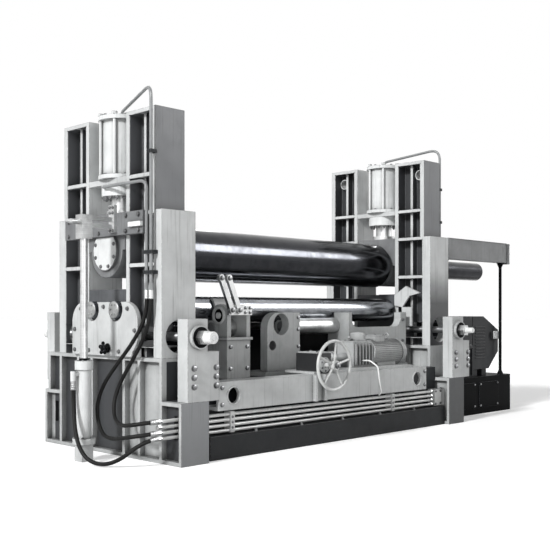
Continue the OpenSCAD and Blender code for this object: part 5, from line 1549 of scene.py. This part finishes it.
@dataclass
class DriveTrim:
    """Covers, ribs, louvres, doors and bolts of the drive and of the cable arm.

    Attributes:
        face: Front of the reducer and of the motor's hood.
        joint_z: Lower and upper face of the reducer's joint flange.
        rib_pitch: Distance between the reducer's ribs.
        ribs: Count of those ribs.
        louvre_pitch: Distance between the hood's louvres.
        louvres: Count of those louvres.
        plinth_y: Front of the plinth.
        door_y: Front of the plinth's doors.
        door_pitch: Distance between the doors.
        terminal_y: Seat and face of the lid on the motor's terminal box.
        case_x: End of the gear case.
        bearing_y: Distance of the gear case's bearings from the middle.
        bearing_z: Height of those bearings.
        cap_t: Thickness of their caps.
        arm_end: End of the cable arm.
    """

    face: float = -0.760
    joint_z: tuple[float, float] = (0.955, 0.995)
    rib_pitch: float = 0.18
    ribs: int = 5
    louvre_pitch: float = 0.045
    louvres: int = 11
    plinth_y: float = -0.850
    door_y: float = -0.862
    door_pitch: float = 0.62
    terminal_y: tuple[float, float] = (-0.800, -0.812)
    case_x: float = 3.005
    bearing_y: float = 0.210
    bearing_z: float = 1.510
    cap_t: float = 0.034
    arm_end: float = 4.110

    def build(self) -> None:
        """Make the covers, the bolts and the arm's plates."""
        self.covers()
        self.fasteners()
        flange = plate((2.485, -0.925, 2.19), (2.503, -0.745, 2.497), Axis.X, 0.01)
        lid = plate((2.52, -0.905, 2.50), (4.07, -0.765, 2.507), Axis.Z, 0.004)
        piece("cable_arm_plates", joined([flange, lid]), Finish.GREY)

    def covers(self) -> None:
        """Make the covers, ribs and louvres of the drive, the plinth's doors and the terminal lid."""
        f, (joint_low, joint_top) = self.face, self.joint_z
        seam = box((2.535, f - 0.022, joint_low), (3.345, f + 0.01, joint_top))
        cover = plate((2.66, f - 0.014, 1.06), (2.96, f, 1.34), Axis.FRONT, 0.03)
        rib = box((2.59, f - 0.02, 0.56), (2.61, f, 0.94))
        ribs = rib.copies([(k * self.rib_pitch, 0, 0) for k in range(self.ribs)])
        louvre = box((3.42, f - 0.012, 0.80), (3.68, f, 0.816), Axis.FRONT)
        louvres = louvre.copies([(0, 0, k * self.louvre_pitch) for k in range(self.louvres)])
        caps = [cap((self.case_x, y, self.bearing_z), Axis.X, (0, 0.13), self.cap_t, (0.008, 0.01), 40)
                for y in (-self.bearing_y, self.bearing_y)]
        piece("drive_covers", joined([seam, cover, ribs, louvres, *caps]), Finish.DARK_CASTING)
        door = plate((2.76, self.door_y, 0.09), (3.28, self.plinth_y, 0.46), Axis.FRONT, 0.02)
        piece("plinth_doors", door.copies([(0, 0, 0), (self.door_pitch, 0, 0)]), Finish.BLACK)
        lid_seat, lid_face = self.terminal_y
        lid = plate((3.858, lid_face, 1.079), (4.032, lid_seat, 1.193), Axis.FRONT, 0.01)
        piece("motor_terminal_lid", lid, Finish.PALE)

    def fasteners(self) -> None:
        """Make the bolts of the drive and of the arm's end."""
        f, joint_top = self.face, self.joint_z[1]
        made = [bolts(grid_places(np.linspace(2.60, 3.28, 6), [f - 0.008], [joint_top]), Axis.Z, 0.016),
                bolts(grid_places([2.69, 2.81, 2.93], [f - 0.014], [1.09, 1.31]), Axis.FRONT, 0.014),
                bolts(grid_places([2.79, 3.25, 3.41, 3.87], [self.door_y], [0.12, 0.43]), Axis.FRONT, 0.014),
                bolts(grid_places([3.875, 4.015], [self.terminal_y[1]], [1.095, 1.177]), Axis.FRONT, 0.009),
                bolts(grid_places([self.arm_end], [-0.912, -0.758], [2.215, 2.35, 2.48]), Axis.X, 0.014)]
        for y in (-self.bearing_y, self.bearing_y):
            ring = ring_places((self.case_x + self.cap_t, y, self.bearing_z), Axis.X, 0.105, 8)
            made.append(bolts(ring, Axis.X, 0.016))
        piece("drive_bolts", joined(made), Finish.BOLT)


@dataclass
class StandTrim:
    """Bolts and bearing caps of the roll stands and the guide bars, and a black sheet of painted shade
    between the stands.

    Attributes:
        front: Front of the stands.
        bar_y: Face of the guide bars.
        pivots: Places of the guide bars' lower eyes along the machine.
        pivot_z: Height of those eyes.
        lean: How far the upper eyes stand from the lower ones, along and up.
        roller_y: Distance of the backup rollers from the middle.
        roller_z: Height of the backup rollers.
        cheeks: Outer faces of the cheeks, and the way that each faces.
        cap_t: Thickness of the bearing caps on the cheeks.
        yoke_head: Middle of the round head of the yoke's outer cheek.
        shade_sheet: Lowest and highest corners of the black sheet of painted shade under the lower rolls.
    """

    front: float = -0.620
    bar_y: float = -0.680
    pivots: tuple[float, ...] = (-1.320, -1.210)
    pivot_z: float = 1.505
    lean: tuple[float, float] = (-0.1546, 0.3471)
    roller_y: float = 0.3698
    roller_z: float = 1.310
    cheeks: tuple[tuple[float, Axis], ...] = ((-1.350, Axis.LEFT), (-1.000, Axis.X), (-0.245, Axis.LEFT),
                                              (0.780, Axis.X))
    cap_t: float = 0.016
    yoke_head: Vec = (-1.350, -0.495, 1.445)
    shade_sheet: tuple[Vec, Vec] = ((-1.950, -0.006, 0.750), (1.950, 0.006, 1.270))

    def build(self) -> None:
        """Make the bolts, the caps and the sheet of painted shade."""
        f, (lean_x, lean_z) = self.front, self.lean
        eyes = [(x + k * lean_x, self.bar_y, self.pivot_z + k * lean_z) for x in self.pivots for k in (0, 1)]
        foot_xs = [-0.76, -0.58, -0.40, -0.22, 0.80, 1.10, 1.40, 1.70]
        made = [bolts(eyes, Axis.FRONT, 0.026),
                bolts(grid_places([-1.10, -1.03], [-0.650], [1.48, 1.53]), Axis.FRONT, 0.018),
                bolts(grid_places([-1.30, -1.05], [f], [0.86, 1.10]), Axis.FRONT, 0.024),
                bolts(grid_places([-0.215], [f], [0.88, 1.08, 1.28, 1.42]), Axis.FRONT, 0.022),
                bolts(grid_places([0.80, 1.32, 1.84], [f], [0.88]), Axis.FRONT, 0.026),
                bolts(grid_places([1.84], [f], [1.10, 1.38]), Axis.FRONT, 0.022),
                bolts(grid_places(foot_xs, [-0.635], [0.80]), Axis.Z, 0.012)]
        caps = []
        for x, axis in self.cheeks:
            for y in (-self.roller_y, self.roller_y):
                caps.append(cap((x, y, self.roller_z), axis, (0, 0.062), self.cap_t, (0.004, 0.006), 28))
                face = x + axis.value[0] * self.cap_t
                ring = ring_places((face, y, self.roller_z), axis, 0.044, 4, 45)
                made.append(bolts(ring, axis, 0.010))
        piece("stand_bolts", joined(made), Finish.BOLT)
        piece("roller_bearing_caps", joined(caps), Finish.GREY)
        rim = lathe([(0, 0.072), (0, 0.096), (0.018, 0.096), (0.022, 0.09), (0.022, 0.076), (0.006, 0.072)],
                    self.yoke_head, Axis.LEFT, 40)
        seal = lathe([(0.003, 0.034), (0.006, 0.034), (0.006, 0.074), (0.003, 0.074)],
                     self.yoke_head, Axis.LEFT, 40)
        pin = cap(self.yoke_head, Axis.LEFT, (0, 0.035), 0.030, (0.004, 0.005), 28)
        piece("yoke_bearing_rim", joined([rim, pin]), Finish.PALE)
        piece("yoke_bearing_seal", seal, Finish.BLACK)
        # A black sheet between the front and rear stands: painted shade in the space under the lower rolls
        piece("drip_guard", box(*self.shade_sheet, Axis.FRONT), Finish.BLACK)


@dataclass
class BeamTrim:
    """Rims round the holes of the front bed beam, and its end bolts.

    Attributes:
        face: Front of the beam.
        holes: Places of the holes along the beam.
        hole_z: Height of the holes.
        hole_r: Radius of the holes.
        end_xs: Places of the end bolts.
        end_zs: Heights of the end bolts.
    """

    face: float = -1.220
    holes: tuple[float, ...] = (-1.805, 1.335)
    hole_z: float = 0.645
    hole_r: float = 0.080
    end_xs: tuple[float, ...] = (-1.965, 1.495)
    end_zs: tuple[float, ...] = (0.56, 0.73)

    def build(self) -> None:
        """Make the rims and the bolts."""
        r = self.hole_r
        rim = lathe([(-0.036, r), (0.006, r), (0.008, r + 0.004), (0.006, r + 0.016), (0, r + 0.016)],
                    (0, 0, 0), Axis.FRONT, 40)
        piece("beam_hole_rims", rim.copies(grid_places(self.holes, [self.face], [self.hole_z])), Finish.LIGHT)
        ends = grid_places(self.end_xs, [self.face], self.end_zs)
        piece("beam_bolts", bolts(ends, Axis.FRONT, 0.022), Finish.BOLT)


@dataclass
class ColumnWelds:
    """Fillet welds in the sunk bays of one housing's columns.

    Attributes:
        name: End of the machine.
        web_x: Middle of the web.
        left_x: Outer edge of the ribs towards the idle end.
        right_xs: Outer edge of the ribs towards the drive end, in the lower and the upper columns.
        web_half: Half of the web's thickness.
        stiff_y: Faces of the stiffener, from the middle.
        inner_y: Face of the flange beside the window, from the middle.
        bays: Floor, ceiling and outer face of each bay, and whether it is a lower one.
        size: Radius of the bead.
    """

    name: str
    web_x: float
    left_x: float
    right_xs: tuple[float, float]
    web_half: float = 0.025
    stiff_y: tuple[float, float] = (0.5545, 0.5945)
    inner_y: float = 0.394
    bays: tuple[tuple[float, float, float, bool], ...] = (
        (1.345, 1.94, 0.79, True), (1.98, 2.46, 0.79, True),
        (2.50, 2.84, 0.755, False), (2.88, 3.49, 0.755, False))
    size: float = 0.007

    def build(self) -> None:
        """Lay a bead up each corner of each bay, and along its floor and ceiling."""
        seams: list[tuple[Vec, Vec]] = []
        for low, high, outer, lower in self.bays:
            for side in (-1, 1):
                face = self.web_x + side * self.web_half
                edge = self.left_x if side < 0 else self.right_xs[0 if lower else 1]
                for way in (-1, 1):
                    ys = [way * y for y in (self.inner_y, *self.stiff_y, outer)]
                    seams += [((face, y, low), (face, y, high)) for y in ys]
                    seams += [((face, a, z), (face, b, z)) for a, b in (ys[:2], ys[2:]) for z in (low, high)]
                    seams += [((face, y, z), (edge, y, z)) for y in (ys[0], ys[3]) for z in (low, high)]
        piece(self.name + "_column_welds", beads(seams, self.size), Finish.DEEP)


@dataclass
class LiftingBushes:
    """Pipe bushes welded into the lifting holes of the drive end's columns.

    Attributes:
        run: Where the bushes start and end along the machine.
        y: Distance of the holes from the middle.
        z: Height of the holes.
        radii: Inner and outer radius of the bushes.
    """

    run: tuple[float, float] = (2.165, 2.315)
    y: float = 0.671
    z: float = 3.356
    radii: tuple[float, float] = (0.060, 0.072)

    def build(self) -> None:
        """Make the bushes: a closed ring carried from one end to the other."""
        near, far = self.run
        inner, outer = self.radii
        ring = [(near, inner), (near, outer), (far, outer), (far, inner), (near, inner)]
        bush = lathe(ring, (0, 0, 0), Axis.X, 40)
        piece("lifting_bushes", bush.copies([(0, -self.y, self.z), (0, self.y, self.z)]), Finish.PALE)


class Assembly(Protocol):
    """Anything that builds its own pieces."""

    def build(self) -> None:
        """Make the pieces."""


def assemblies() -> list[Assembly]:
    """Give the sub-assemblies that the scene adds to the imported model.

    Returns:
        The sub-assemblies.
    """
    left = RiserPipes(
        "left", "left_riser_pipes",
        [[(-2.300, 0, 3.545), (-2.300, 0, 3.612), (-2.540, -0.820, 3.730), (-2.540, -0.820, 1.700)],
         [(-2.510, 0, 2.790), (-2.540, 0, 2.790), (-2.540, -0.750, 2.790), (-2.540, -0.750, 1.700)]],
        [(0.056, 0.150), (0.028, 0.110)], [(-2.540, -0.820, 1.700), (-2.540, -0.750, 1.700)],
        [((-2.566, -0.862, z), (-2.485, -0.722, z + 0.036)) for z in (1.86, 2.06)]
        + [((-2.566, -0.850, 3.05), (-2.485, -0.790, 3.086))])
    right = RiserPipes(
        "right", "right_riser_pipe",
        [[(2.240, 0, 3.545), (2.240, 0, 3.612), (2.455, -0.800, 3.730), (2.455, -0.800, 2.500)]],
        [(0.056, 0.150)], [], [((2.425, -0.826, z), (2.480, -0.774, z + 0.036)) for z in (2.70, 3.15)])
    return [LiftTrim("left", -2.300), LiftTrim("right", 2.240),
            ScrewTrim("left", -2.270), ScrewTrim("right", 2.270, cap_r=0.036),
            ChockTrim(), CoverTrim(), BalanceTrim(), PipeTrim(), left, right,
            AdjusterTrim(), WheelTrim(), DriveTrim(), StandTrim(), BeamTrim(), LiftingBushes(),
            ColumnWelds("left", -2.300, -2.485, (-2.055, -2.115)),
            ColumnWelds("right", 2.240, 2.055, (2.485, 2.425))]


def main() -> None:
    """Build the machine's looks in order."""
    logging.basicConfig(level=logging.INFO, format="%(message)s")
    studio = Studio()
    studio.camera()
    for hose in hoses():
        hose.build()
    dress_nodes()
    for group in assemblies():
        group.build()
    studio.floor()
    studio.light()
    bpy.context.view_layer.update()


if __name__ == "__main__":
    main()
